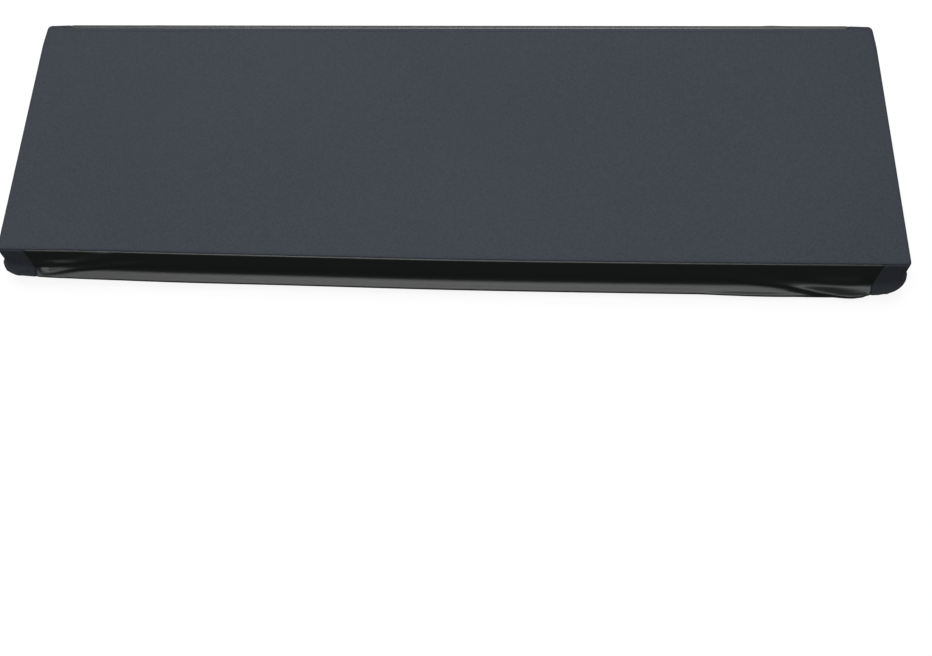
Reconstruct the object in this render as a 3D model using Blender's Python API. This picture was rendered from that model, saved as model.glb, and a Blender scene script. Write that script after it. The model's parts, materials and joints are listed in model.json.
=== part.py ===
"""Stretch cover for an 88-key digital piano, in the shape it takes on the instrument.

Five sewn pieces of knit (a top panel and four bands), the drawcord's free loop with its knot, and
the spring lock on it. Metres, +X along the length, -Y to the front, +Z up. The origin lies on the
underside of the top panel, over the middle of the instrument's top.
"""
import math
from collections import namedtuple

import bmesh
import bpy
import numpy as np
from mathutils import Matrix, Vector

# Driving sizes
COVER_WIDTH = 1.36
COVER_DEPTH = 0.44
CLOTH = 0.0016              # thickness of the knit
BEAD = 0.0036               # thickness of the hem round its cord
GAP = 0.0004                # clearance between sewn pieces
CORNER_REACH = 0.10         # how far from a corner its gathers start
CORNER_EASE = 0.10          # length over which one side's section turns into the next
SEAM_WRAP = 0.039           # end bands reach this far onto the long sides
CORD_DIAMETER = 0.0028

# Section of the cover, from the flat top (v = 0) to the hem (v = 1).
# blend: from the top edge's outline to the foot's. front_out, end_out, back_out: distance outside
# the top edge on each side. drop and back_drop: metres below the top. fall: share of the side's
# height. sink: from the foot to the hem's outline.
SECTION_COLUMNS = ("v", "blend", "front_out", "end_out", "back_out", "drop", "back_drop", "fall",
                   "sink")
SECTION = (
    (0.00, 0.00, -0.0050, -0.0050, -0.0170, 0.0000, 0.0000, 0.00, 0.00),    # edge of the flat top
    (0.03, 0.00, -0.0025, -0.0025, -0.0138, 0.0007, 0.0000, 0.00, 0.00),
    (0.06, 0.00, -0.0007, -0.0007, -0.0105, 0.0025, 0.0002, 0.00, 0.00),    # seam of the top panel
    (0.10, 0.02, 0.0000, 0.0000, -0.0056, 0.0060, 0.0012, 0.00, 0.00),
    (0.15, 0.07, -0.0004, 0.0006, -0.0018, 0.0140, 0.0036, 0.00, 0.00),
    (0.20, 0.14, -0.0009, 0.0014, -0.0002, 0.0235, 0.0100, 0.00, 0.00),
    (0.28, 0.30, -0.0016, 0.0030, -0.0006, 0.0000, 0.0000, 0.42, 0.00),    # upright side
    (0.46, 0.75, -0.0022, 0.0085, -0.0012, 0.0000, 0.0000, 0.76, 0.00),
    (0.54, 0.92, 0.0036, 0.0112, 0.0024, 0.0000, 0.0000, 0.87, 0.00),      # ledge over the lip
    (0.60, 1.00, 0.0068, 0.0122, 0.0052, 0.0000, 0.0000, 0.935, 0.00),     # lip, the widest place
    (0.66, 1.00, 0.0034, 0.0095, 0.0030, 0.0000, 0.0000, 0.985, 0.00),
    (0.74, 1.00, -0.0070, 0.0010, -0.0070, 0.0000, 0.0000, 1.00, 0.00),    # turned under
    (1.00, 1.00, -0.0070, 0.0010, -0.0070, 0.0000, 0.0000, 0.97, 1.00),    # hem
)
SECTION_LENGTH = 0.135      # length of the section, for distances across the folds
SEAM_V = 0.06
BEAD_V = 0.95
PANEL_ROWS = (0.0, 0.03)
BAND_ROWS = (0.10, 0.15, 0.28, 0.46, 0.54, 0.60, 0.66, 0.74, 0.85, BEAD_V)
FRONT_ROWS = (0.11, 0.17, 0.23, 0.29, 0.35, 0.41, 0.47, 0.54, 0.60, 0.66, 0.74, 0.86, BEAD_V)

# How the edges stray from a true rectangle: x along the cover, distance forward or back.
FRONT_STRAY = ((-0.70, -0.0022), (-0.54, -0.0015), (-0.40, 0.0010), (-0.25, 0.0035),
               (0.0, 0.0075), (0.30, 0.0090), (0.70, 0.0090))
BACK_STRAY = ((-0.70, 0.0), (0.0, 0.0035), (0.70, 0.0070))

# Height of the side, by distance round the cover from the front left corner.
HEIGHTS = (
    # along, height
    (0.00, 0.062), (0.04, 0.072), (0.10, 0.077), (0.18, 0.080), (0.45, 0.082), (0.70, 0.084),
    (1.00, 0.086), (1.20, 0.087), (1.30, 0.087), (1.335, 0.080), (1.36, 0.067), (1.42, 0.077),
    (1.50, 0.080), (1.70, 0.080), (1.80, 0.074), (1.92, 0.084), (2.50, 0.086), (3.05, 0.084),
    (3.16, 0.072), (3.26, 0.080), (3.50, 0.076), (3.56, 0.072), (3.60, 0.062),
)

# Outlines seen from above: the top edge, the foot of the sides and the hem. Radii and reaches are
# for the corners front left, front right, back right, back left.
Outline = namedtuple("Outline", "left right front back radii reaches")
HALF_WIDTH = COVER_WIDTH / 2
HALF_DEPTH = COVER_DEPTH / 2
TOP_EDGE = Outline(-HALF_WIDTH, HALF_WIDTH, -HALF_DEPTH, HALF_DEPTH,
                   (0.0065, 0.0065, 0.010, 0.010), (CORNER_REACH,) * 4)
FOOT = Outline(-HALF_WIDTH, HALF_WIDTH, -HALF_DEPTH, HALF_DEPTH,
               (0.018, 0.020, 0.030, 0.032), (CORNER_REACH,) * 4)
HEM = Outline(-HALF_WIDTH + 0.005, HALF_WIDTH - 0.006, -HALF_DEPTH + 0.028, HALF_DEPTH - 0.043,
              (0.045, 0.050, 0.045, 0.062), (0.085, 0.085, 0.085, 0.090))
HEM_BOW = {"front": 0.012, "back": 0.024, "end": 0.045, "end_middle": -0.05}
LOCK_RECESS = {"along": 2.0 * COVER_WIDTH + COVER_DEPTH - 0.083, "depth": 0.008, "half": 0.030}

# Long folds of the sides: ridges along straight runs. u in metres round the cover from the front
# left corner, v across the section, width and height in metres.
FOLDS = (
    # from_u, from_v, to_u, to_v, width, height
    (0.022, 0.44, 0.175, 0.13, 0.0075, 0.0034),
    (0.035, 0.55, 0.235, 0.24, 0.0065, 0.0024),
    (0.010, 0.50, 0.060, 0.47, 0.0060, 0.0022),
    (1.318, 0.60, 1.105, 0.34, 0.0085, 0.0034),
    (1.325, 0.63, 1.190, 0.50, 0.0055, 0.0028),
    (1.300, 0.66, 1.060, 0.585, 0.0060, 0.0022),
    (1.372, 0.50, 1.470, 0.22, 0.0080, 0.0024),
    (1.790, 0.50, 1.700, 0.20, 0.0080, 0.0022),
    (1.815, 0.52, 1.980, 0.16, 0.0080, 0.0026),
    (3.140, 0.55, 2.960, 0.20, 0.0080, 0.0024),
    (3.185, 0.50, 3.270, 0.22, 0.0080, 0.0022),
    (3.585, 0.50, 3.500, 0.20, 0.0080, 0.0024),
    (0.300, 0.90, 0.620, 0.80, 0.0080, 0.0022),
    (0.760, 0.82, 1.080, 0.90, 0.0080, 0.0022),
    (1.980, 0.92, 2.330, 0.76, 0.0100, 0.0030),
    (2.420, 0.80, 2.760, 0.90, 0.0100, 0.0026),
    (2.700, 0.76, 3.020, 0.86, 0.0090, 0.0028),
)

# Gathers of the hem: runs of small cross folds. Height at the hem, fading out at from_v.
GATHERS = (
    # from_u, to_u, count, height, from_v
    (-0.070, 0.082, 7, 0.0026, 0.62),
    (1.278, 1.430, 7, 0.0026, 0.62),
    (1.450, 1.710, 9, 0.0021, 0.50),
    (1.725, 1.900, 7, 0.0030, 0.58),
    (3.040, 3.240, 8, 0.0032, 0.58),
    (3.255, 3.510, 9, 0.0021, 0.50),
)
UNEVEN_STEP = 2.4           # turns the even gathers into uneven ones

# Columns of the mesh in each run round the cover, from the front anticlockwise, and at a corner
RUN_COLUMNS = (24, 14, 16, 14)
CORNER_COLUMNS = 18
CORNER_CROWDING = 1.45

# Drawcord and its lock
LOCK_PLACE = (-0.597, 0.1375)
LOCK_RADIUS = 0.0052
LOCK_LENGTH = 0.0115
BUTTON_RADIUS = 0.0045
BUTTON_LENGTH = 0.0055
BUTTON_GAP = 0.0034
STEM_RADIUS = 0.0022
SPRING_RADIUS = 0.0034
LOCK_SIDES = 24
KNOT_PLACE = (-0.5725, 0.0335)
KNOT_RADII = (0.0034, 0.0037, 0.0027)
# Routes seen from above, on the surface that the cover stands on
LOOP_ROUTE = ((-0.5930, 0.1320), (-0.5912, 0.1250), (-0.5860, 0.1120), (-0.5790, 0.0975),
              (-0.5715, 0.0830), (-0.5650, 0.0690), (-0.5590, 0.0545), (-0.5525, 0.0400),
              (-0.5480, 0.0290), (-0.5460, 0.0190), (-0.5480, 0.0105), (-0.5540, 0.0072),
              (-0.5600, 0.0106), (-0.5650, 0.0190), (-0.5703, 0.0291))
RETURN_ROUTE = ((-0.5748, 0.0378), (-0.5795, 0.0470), (-0.5845, 0.0590), (-0.5888, 0.0730),
                (-0.5918, 0.0880), (-0.5945, 0.1020), (-0.5975, 0.1150), (-0.6000, 0.1250),
                (-0.6008, 0.1320))
CORD_STEP = 2.6             # diameters between the points of a cord's tube

MATERIALS = {
    "charcoal_knit": ((0.040, 0.045, 0.056), 0.92, 0.0),
    "black_satin_knit": ((0.008, 0.010, 0.011), 0.62, 0.0),
    "braided_cord": ((0.010, 0.010, 0.011), 0.80, 0.0),
    "lock_plastic": ((0.012, 0.012, 0.013), 0.35, 0.0),
    "spring_steel": ((0.60, 0.60, 0.58), 0.25, 1.0),
}

PERIMETER = 2 * (COVER_WIDTH + COVER_DEPTH)
SIDE_STARTS = (0.0, COVER_WIDTH, COVER_WIDTH + COVER_DEPTH, 2 * COVER_WIDTH + COVER_DEPTH)
SIDE_LENGTHS = (COVER_WIDTH, COVER_DEPTH, COVER_WIDTH, COVER_DEPTH)
HEADINGS = ((1.0, 0.0), (0.0, 1.0), (-1.0, 0.0), (0.0, -1.0))
BAND_SEAMS = (SEAM_WRAP, COVER_WIDTH - SEAM_WRAP,
              COVER_WIDTH + COVER_DEPTH + SEAM_WRAP, 2 * COVER_WIDTH + COVER_DEPTH - SEAM_WRAP)


def through(rows, at, column=1):
    """Smooth curve through a table's rows, by its first column."""
    table = np.array(rows, dtype=float)
    places = table[:, 0]
    values = table[:, column]
    slopes = np.gradient(values, places)
    index = np.clip(np.searchsorted(places, at, side="right") - 1, 0, len(places) - 2)
    span = places[index + 1] - places[index]
    t = np.clip((at - places[index]) / span, 0.0, 1.0)
    rise = t * t * (3 - 2 * t)
    return (values[index] * (1 - rise) + values[index + 1] * rise
            + slopes[index] * span * t * (1 - t) ** 2 - slopes[index + 1] * span * t * t * (1 - t))


def outward(heading):
    """Normal on the right of a heading; the outlines run anticlockwise from above."""
    return np.array((heading[1], -heading[0]))


def outline_corner(outline, corner):
    """Corner of an outline's rectangle."""
    xs = (outline.left, outline.right, outline.right, outline.left)
    ys = (outline.front, outline.front, outline.back, outline.back)
    return np.array((xs[corner], ys[corner]))


def corner_point(outline, corner, share):
    """Point and outward normal at a share of the way round one corner."""
    radius = outline.radii[corner]
    straight = outline.reaches[corner] - radius
    arc = radius * math.pi / 2
    run = share * (2 * straight + arc)
    into = np.array(HEADINGS[corner - 1])
    away = np.array(HEADINGS[corner])
    tip = outline_corner(outline, corner)
    if run < straight:
        return tip - into * (outline.reaches[corner] - run), outward(into)
    if run > straight + arc:
        return tip + away * (run - straight - arc + radius), outward(away)
    angle = (run - straight) / radius
    centre = tip - into * radius + away * radius
    normal = outward(into) * math.cos(angle) + outward(away) * math.sin(angle)
    return centre + normal * radius, normal


def outline_point(outline, u):
    """Point and outward normal of an outline at a distance u round the cover."""
    u = u % PERIMETER
    side = max(k for k in range(4) if SIDE_STARTS[k] <= u)
    along = u - SIDE_STARTS[side]
    length = SIDE_LENGTHS[side]
    following = (side + 1) % 4
    if along < CORNER_REACH:
        return corner_point(outline, side, 0.5 + along / (2 * CORNER_REACH))
    if along > length - CORNER_REACH:
        share = (along - length + CORNER_REACH) / (2 * CORNER_REACH)
        return corner_point(outline, following, share)
    heading = np.array(HEADINGS[side])
    start = outline_corner(outline, side) + heading * outline.reaches[side]
    end = outline_corner(outline, following) - heading * outline.reaches[following]
    share = (along - CORNER_REACH) / (length - 2 * CORNER_REACH)
    return start * (1 - share) + end * share, outward(heading)


def strayed(points):
    """Moves points by the unevenness of the front and back edges, fading to the middle."""
    moved = points.copy()
    front = np.clip(-points[:, 1] / HALF_DEPTH, 0.0, 1.0)
    back = np.clip(points[:, 1] / HALF_DEPTH, 0.0, 1.0)
    moved[:, 1] += back * through(BACK_STRAY, points[:, 0]) - front * through(FRONT_STRAY, points[:, 0])
    return moved


def bowed(points, us):
    """Draws the hem's sides inwards towards its corners, and out where the lock lies."""
    moved = points.copy()
    x = points[:, 0] / HALF_WIDTH
    y = points[:, 1]
    end_run = (y - HEM_BOW["end_middle"]) / HALF_DEPTH
    front_back = np.where(y < 0, HEM_BOW["front"], -HEM_BOW["back"])
    moved[:, 1] += front_back * x ** 2 * np.clip(np.abs(y) / HEM.back, 0, 1)
    moved[:, 0] -= np.sign(x) * HEM_BOW["end"] * end_run ** 2 * np.clip(np.abs(x), 0, 1) ** 8
    recess = LOCK_RECESS["depth"] * np.exp(-((us - LOCK_RECESS["along"]) / LOCK_RECESS["half"]) ** 2)
    moved[:, 1] += recess
    return moved


def side_weights(us):
    """How far each column belongs to the front, the ends and the back; they add up to 1."""
    weights = []
    for start, length in zip(SIDE_STARTS, SIDE_LENGTHS):
        middle = start + length / 2
        distance = np.abs((us - middle + PERIMETER / 2) % PERIMETER - PERIMETER / 2)
        share = np.clip((length / 2 - distance) / CORNER_EASE + 0.5, 0, 1)
        weights.append(share * share * (3 - 2 * share))
    front, right, back, left = weights
    return front, right + left, back


def outline_points(outline, us):
    """Points and normals of an outline at many distances round the cover."""
    pairs = [outline_point(outline, u) for u in us]
    return np.array([pair[0] for pair in pairs]), np.array([pair[1] for pair in pairs])


def base_surface(us, vs):
    """Middle of the cloth without its folds, as an array over u, v."""
    top, top_normal = outline_points(TOP_EDGE, us)
    foot, foot_normal = outline_points(FOOT, us)
    hem, _ = outline_points(HEM, us)
    top = strayed(top)[:, None, :]
    foot = strayed(foot)[:, None, :]
    hem = strayed(bowed(hem, us))[:, None, :]
    column = {name: through(SECTION, vs, SECTION_COLUMNS.index(name))[None, :]
              for name in SECTION_COLUMNS[1:]}
    blend = column["blend"][..., None]
    normal = top_normal[:, None, :] * (1 - blend) + foot_normal[:, None, :] * blend
    normal /= np.linalg.norm(normal, axis=2, keepdims=True)
    front, end, back = (weight[:, None] for weight in side_weights(us))
    out = column["front_out"] * front + column["end_out"] * end + column["back_out"] * back
    drop = column["drop"] * (1 - back) + column["back_drop"] * back
    level = top * (1 - blend) + foot * blend + normal * out[..., None]
    sink = column["sink"][..., None]
    level = level * (1 - sink) + hem * sink
    height = through(HEIGHTS, us % PERIMETER)[:, None]
    z = CLOTH / 2 - drop - column["fall"] * height
    return np.concatenate((level, z[..., None]), axis=2)


def base_normal(us, vs):
    """Outward normals of the cloth without its folds."""
    du = 1e-4
    dv = 1e-3
    along = base_surface(us + du, vs) - base_surface(us - du, vs)
    across = base_surface(us, np.minimum(vs + dv, 1.0)) - base_surface(us, np.maximum(vs - dv, 0.0))
    normal = np.cross(across, along)
    return normal / np.linalg.norm(normal, axis=2, keepdims=True)


def seam_calm(us):
    """0 at the four seams between bands, where the cloth is held flat, and 1 away from them."""
    calm = np.ones(len(us))
    for seam in BAND_SEAMS:
        distance = np.abs((us - seam + PERIMETER / 2) % PERIMETER - PERIMETER / 2)
        calm = np.minimum(calm, np.clip((distance - 0.001) / 0.012, 0, 1))
    return calm * calm * (3 - 2 * calm)


def fold_height(us, vs):
    """Height of the long folds and the gathers over the base surface."""
    u = (us % PERIMETER)[:, None]
    v = vs[None, :]
    height = np.zeros((len(us), len(vs)))
    for from_u, from_v, to_u, to_v, width, ridge in FOLDS:
        run = np.array((to_u - from_u, (to_v - from_v) * SECTION_LENGTH))
        offset_u = u - from_u
        offset_v = (v - from_v) * SECTION_LENGTH
        share = (offset_u * run[0] + offset_v * run[1]) / (run @ run)
        aside = np.abs(offset_u * run[1] - offset_v * run[0]) / math.hypot(*run)
        fade = np.clip(4 * share * (1 - share), 0, 1) ** 0.7
        height += ridge * fade * np.exp(-(aside / width) ** 2)
    for from_u, to_u, count, ridge, from_v in GATHERS:
        share = ((u - from_u + PERIMETER / 2) % PERIMETER - PERIMETER / 2) / (to_u - from_u)
        window = np.clip(4 * share * (1 - share), 0, 1) ** 0.5
        phase = 2 * math.pi * count * (share + 0.012 * np.sin(UNEVEN_STEP * math.pi * count * share / 3))
        reach = np.clip((v - from_v) / (1 - from_v), 0, 1)
        height += ridge * window * reach * np.sin(phase)
    return height * seam_calm(us)[:, None]


def mesh_columns():
    """Distances round the cover where the mesh has its columns, closer together at the corners."""
    columns = []
    for side in range(4):
        steps = np.arange(CORNER_COLUMNS) / CORNER_COLUMNS * 2 - 1
        crowded = np.sign(steps) * np.abs(steps) ** CORNER_CROWDING * CORNER_REACH
        columns.extend(SIDE_STARTS[side] + crowded)
        run = SIDE_LENGTHS[side] - 2 * CORNER_REACH
        shares = np.arange(RUN_COLUMNS[side]) / RUN_COLUMNS[side]
        if side % 2 == 0:
            shares = (1 - np.cos(math.pi * shares)) / 2
        columns.extend(SIDE_STARTS[side] + CORNER_REACH + run * shares)
    return np.array(columns)


def cloth_layers(us, vs):
    """Outer and inner faces of the cloth, as arrays over u, v."""
    normal = base_normal(us, vs)
    fold = fold_height(us, vs)[..., None]
    middle = base_surface(us, vs) + normal * fold
    swell = np.clip((vs - BEAD_V + 0.03) / 0.03, 0, 1)[None, :, None]
    half = (CLOTH * (1 - swell) + BEAD * swell) / 2
    return middle + normal * half, middle - normal * half


def new_material(name):
    """Principled material from the table of colours."""
    colour, roughness, metallic = MATERIALS[name]
    material = bpy.data.materials.new(name)
    material.use_nodes = True
    shader = material.node_tree.nodes["Principled BSDF"]
    shader.inputs["Base Color"].default_value = (*colour, 1.0)
    shader.inputs["Roughness"].default_value = roughness
    shader.inputs["Metallic"].default_value = metallic
    return material


def add_object(name, bm, material):
    """Turns a bmesh into an object with faces pointing out."""
    bmesh.ops.recalc_face_normals(bm, faces=bm.faces)
    mesh = bpy.data.meshes.new(name)
    bm.to_mesh(mesh)
    bm.free()
    mesh.shade_smooth()
    mesh.set_sharp_from_angle(angle=math.radians(40))
    piece = bpy.data.objects.new(name, mesh)
    piece.data.materials.append(material)
    bpy.context.collection.objects.link(piece)
    return piece


def grid_of_verts(bm, points):
    """Vertices for an array of points over u, v."""
    return [[bm.verts.new(point) for point in column] for column in points]


def skin(bm, grid, closed):
    """Faces between the columns and rows of a grid."""
    count = len(grid)
    for i in range(count if closed else count - 1):
        here = grid[i]
        there = grid[(i + 1) % count]
        for j in range(len(here) - 1):
            bm.faces.new((here[j], there[j], there[j + 1], here[j + 1]))


def band(name, from_u, to_u, columns, rows, material):
    """One band of cloth, from the top seam to its hem."""
    inside = columns[(columns > from_u + 0.002) & (columns < to_u - 0.002)]
    us = np.concatenate(([from_u + GAP / 2], inside, [to_u - GAP / 2]))
    seam = SEAM_V + GAP / SECTION_LENGTH
    vs = np.array((seam, *rows, 1.0))
    outer, inner = cloth_layers(us, vs)
    bm = bmesh.new()
    outer_grid = grid_of_verts(bm, outer)
    inner_grid = grid_of_verts(bm, inner)
    skin(bm, outer_grid, closed=False)
    skin(bm, inner_grid, closed=False)
    for row in (0, -1):
        skin(bm, [[a[row], b[row]] for a, b in zip(outer_grid, inner_grid)], closed=False)
    for column in (0, -1):
        skin(bm, [[a, b] for a, b in zip(outer_grid[column], inner_grid[column])], closed=False)
    return add_object(name, bm, material)


def top_panel(columns, material):
    """The flat top with its edge rolled down to the seam."""
    vs = np.array((*PANEL_ROWS, SEAM_V))
    outer, inner = cloth_layers(columns, vs)
    bm = bmesh.new()
    outer_grid = grid_of_verts(bm, outer)
    inner_grid = grid_of_verts(bm, inner)
    skin(bm, outer_grid, closed=True)
    skin(bm, inner_grid, closed=True)
    skin(bm, [[a[-1], b[-1]] for a, b in zip(outer_grid, inner_grid)], closed=True)
    bm.faces.new([column[0] for column in outer_grid])
    bm.faces.new([column[0] for column in inner_grid])
    return add_object("top_panel", bm, material)


def turned(name, profile, start, material):
    """Solid turned about a line along +X; the profile has (distance along, radius) rows."""
    bm = bmesh.new()
    rim = [bm.verts.new((along, 0.0, radius)) for along, radius in profile]
    for a, b in zip(rim, rim[1:]):
        bm.edges.new((a, b))
    bmesh.ops.spin(bm, geom=bm.verts[:] + bm.edges[:], cent=(0, 0, 0), axis=(1, 0, 0),
                   angle=2 * math.pi, steps=LOCK_SIDES, use_duplicate=False)
    bmesh.ops.remove_doubles(bm, verts=bm.verts, dist=1e-6)
    bmesh.ops.translate(bm, verts=bm.verts, vec=start)
    return add_object(name, bm, material)


def cord_lock(floor, plastic, steel):
    """Barrel body, spring and button, lying on their sides with the axis along the hem."""
    x, y = LOCK_PLACE
    start = Vector((x - LOCK_LENGTH / 2, y, floor + LOCK_RADIUS))
    body_profile = ((0.0, 0.0), (0.0, 0.0034), (0.0012, 0.0047), (0.0036, LOCK_RADIUS),
                    (LOCK_LENGTH - 0.0010, LOCK_RADIUS), (LOCK_LENGTH, LOCK_RADIUS - 0.0008),
                    (LOCK_LENGTH, STEM_RADIUS + GAP), (0.0060, STEM_RADIUS + GAP), (0.0060, 0.0))
    turned("cord_lock_body", body_profile, start, plastic)
    reach = LOCK_LENGTH + BUTTON_GAP
    button_profile = ((0.0068, 0.0), (0.0068, STEM_RADIUS), (reach, STEM_RADIUS),
                      (reach, BUTTON_RADIUS - 0.0006), (reach + 0.0008, BUTTON_RADIUS),
                      (reach + 0.0036, BUTTON_RADIUS), (reach + 0.0050, BUTTON_RADIUS - 0.0012),
                      (reach + BUTTON_LENGTH, 0.0))
    turned("cord_lock_button", button_profile, start, plastic)
    near = LOCK_LENGTH + GAP
    far = reach - GAP
    bore = STEM_RADIUS + GAP
    spring_profile = ((near, bore), (near, SPRING_RADIUS), (far, SPRING_RADIUS), (far, bore),
                      (near, bore))
    turned("cord_lock_spring", spring_profile, start, steel)


def smooth_route(route, step):
    """Evenly spaced points on a smooth curve through a route's own points."""
    points = np.array(route)
    tangents = np.gradient(points, axis=0)
    dense = []
    for k in range(len(points) - 1):
        for t in np.linspace(0, 1, 24, endpoint=False):
            rise = t * t * (3 - 2 * t)
            dense.append(points[k] * (1 - rise) + points[k + 1] * rise
                         + tangents[k] * t * (1 - t) ** 2 - tangents[k + 1] * t * t * (1 - t))
    dense.append(points[-1])
    dense = np.array(dense)
    lengths = np.concatenate(([0.0], np.cumsum(np.linalg.norm(np.diff(dense, axis=0), axis=1))))
    count = max(2, round(lengths[-1] / step) + 1)
    at = np.linspace(0, lengths[-1], count)
    return np.stack([np.interp(at, lengths, dense[:, k]) for k in range(2)], axis=1)


def cord(name, route, floor, material):
    """Round cord lying on the surface along a route."""
    curve = bpy.data.curves.new(name, "CURVE")
    curve.dimensions = "3D"
    curve.bevel_depth = CORD_DIAMETER / 2
    curve.bevel_resolution = 2
    curve.use_fill_caps = True
    points = smooth_route(route, CORD_STEP * CORD_DIAMETER)
    spline = curve.splines.new("POLY")
    spline.points.add(len(points) - 1)
    for point, (x, y) in zip(spline.points, points):
        point.co = (x, y, floor + CORD_DIAMETER / 2, 1.0)
    piece = bpy.data.objects.new(name, curve)
    piece.data.materials.append(material)
    bpy.context.collection.objects.link(piece)
    return piece


def knot(floor, material):
    """Small tight knot that joins the cord's two ends."""
    bm = bmesh.new()
    bmesh.ops.create_icosphere(bm, subdivisions=2, radius=1.0)
    place = Vector((*KNOT_PLACE, floor + KNOT_RADII[2]))
    bmesh.ops.transform(bm, matrix=Matrix.Translation(place) @ Matrix.Diagonal((*KNOT_RADII, 1.0)),
                        verts=bm.verts)
    return add_object("drawcord_knot", bm, material)


def main():
    for thing in list(bpy.data.objects):
        bpy.data.objects.remove(thing, do_unlink=True)
    materials = {name: new_material(name) for name in MATERIALS}
    columns = mesh_columns()
    seams = BAND_SEAMS
    wrapped = np.concatenate((columns, columns + PERIMETER))
    top_panel(columns, materials["charcoal_knit"])
    bands = (
        band("front_band", seams[0], seams[1], wrapped, FRONT_ROWS, materials["black_satin_knit"]),
        band("right_end_band", seams[1], seams[2], wrapped, BAND_ROWS, materials["charcoal_knit"]),
        band("back_band", seams[2], seams[3], wrapped, BAND_ROWS, materials["black_satin_knit"]),
        band("left_end_band", seams[3], seams[0] + PERIMETER, wrapped, BAND_ROWS,
             materials["charcoal_knit"]),
    )
    floor = min(vert.co.z for piece in bands for vert in piece.data.vertices)
    cord_lock(floor, materials["lock_plastic"], materials["spring_steel"])
    cord("drawcord_loop", LOOP_ROUTE, floor, materials["braided_cord"])
    cord("drawcord_return", RETURN_ROUTE, floor, materials["braided_cord"])
    knot(floor, materials["braided_cord"])


main()
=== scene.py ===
"""Looks of a stretch cover for a digital piano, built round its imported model.

Knit top panel and bands with their folds and gathers, the hem and its stitching, the drawcord with
its knot, the spring lock, and a pale studio. Metres, +X along the length, -Y to the front, +Z up.
"""
import json
import logging
import math
import random
from collections.abc import Callable
from dataclasses import dataclass
from enum import Enum

import bpy
import numpy as np
from mathutils import Euler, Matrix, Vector

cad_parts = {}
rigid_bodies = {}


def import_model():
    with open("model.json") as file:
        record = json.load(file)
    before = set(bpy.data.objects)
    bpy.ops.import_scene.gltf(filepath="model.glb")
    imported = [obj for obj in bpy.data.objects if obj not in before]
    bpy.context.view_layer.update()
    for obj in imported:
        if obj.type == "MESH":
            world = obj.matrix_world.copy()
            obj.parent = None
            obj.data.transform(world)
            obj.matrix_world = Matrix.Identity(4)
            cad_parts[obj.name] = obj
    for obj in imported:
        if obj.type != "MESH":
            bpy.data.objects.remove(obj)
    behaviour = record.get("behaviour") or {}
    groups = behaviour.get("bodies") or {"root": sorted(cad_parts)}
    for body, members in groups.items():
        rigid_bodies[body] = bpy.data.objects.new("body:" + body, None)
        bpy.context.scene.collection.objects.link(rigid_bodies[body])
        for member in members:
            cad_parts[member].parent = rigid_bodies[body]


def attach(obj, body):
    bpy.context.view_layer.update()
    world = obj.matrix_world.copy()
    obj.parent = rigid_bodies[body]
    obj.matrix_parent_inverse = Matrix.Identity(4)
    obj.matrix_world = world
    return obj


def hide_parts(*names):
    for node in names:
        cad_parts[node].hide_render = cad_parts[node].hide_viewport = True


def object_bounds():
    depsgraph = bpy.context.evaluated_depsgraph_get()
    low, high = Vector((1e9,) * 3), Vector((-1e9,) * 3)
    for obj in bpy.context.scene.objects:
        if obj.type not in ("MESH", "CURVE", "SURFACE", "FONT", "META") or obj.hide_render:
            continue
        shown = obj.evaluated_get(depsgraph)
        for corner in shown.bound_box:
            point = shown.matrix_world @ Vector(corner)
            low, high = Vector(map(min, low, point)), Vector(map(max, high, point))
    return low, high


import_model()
CAD_LOW, CAD_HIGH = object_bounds()

LOG = logging.getLogger("piano_cover")
MM = 0.001
BODY = "root"

Colour = tuple[float, float, float, float]
Socket = bpy.types.NodeSocket


# ---------------------------------------------------------------- shape of the cover

# Section of the cover, from the flat top (v = 0) to the hem (v = 1).
# blend: from the top edge's outline to the foot's. front_out, end_out, back_out: distance outside
# the top edge on each side. drop and back_drop: metres below the top. fall: share of the side's
# height. sink: from the foot to the hem's outline.
SECTION_COLUMNS = ("v", "blend", "front_out", "end_out", "back_out", "drop", "back_drop", "fall",
                   "sink")
SECTION = (
    (0.00, 0.00, -0.0050, -0.0050, -0.0170, 0.0000, 0.0000, 0.00, 0.00),    # edge of the flat top
    (0.03, 0.00, -0.0025, -0.0025, -0.0138, 0.0007, 0.0000, 0.00, 0.00),
    (0.06, 0.00, -0.0007, -0.0007, -0.0105, 0.0025, 0.0002, 0.00, 0.00),    # seam of the top panel
    (0.10, 0.02, 0.0000, 0.0000, -0.0056, 0.0060, 0.0012, 0.00, 0.00),
    (0.15, 0.07, -0.0004, 0.0006, -0.0018, 0.0140, 0.0036, 0.00, 0.00),
    (0.20, 0.14, -0.0009, 0.0014, -0.0002, 0.0235, 0.0100, 0.00, 0.00),
    (0.28, 0.30, -0.0016, 0.0030, -0.0006, 0.0000, 0.0000, 0.42, 0.00),    # upright side
    (0.46, 0.75, -0.0022, 0.0085, -0.0012, 0.0000, 0.0000, 0.76, 0.00),
    (0.54, 0.92, 0.0036, 0.0112, 0.0024, 0.0000, 0.0000, 0.87, 0.00),      # ledge over the lip
    (0.60, 1.00, 0.0068, 0.0122, 0.0052, 0.0000, 0.0000, 0.935, 0.00),     # lip, the widest place
    (0.66, 1.00, 0.0034, 0.0095, 0.0030, 0.0000, 0.0000, 0.985, 0.00),
    (0.74, 1.00, -0.0070, 0.0010, -0.0070, 0.0000, 0.0000, 1.00, 0.00),    # turned under
    (1.00, 1.00, -0.0070, 0.0010, -0.0070, 0.0000, 0.0000, 0.93, 1.00),    # hem
)

# How the edges stray from a true rectangle: x along the cover, distance forward or back.
FRONT_STRAY = ((-0.70, -0.0022), (-0.54, -0.0015), (-0.40, 0.0010), (-0.25, 0.0035),
               (0.0, 0.0075), (0.30, 0.0090), (0.70, 0.0090))
BACK_STRAY = ((-0.70, 0.0), (0.0, 0.0035), (0.70, 0.0070))

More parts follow.
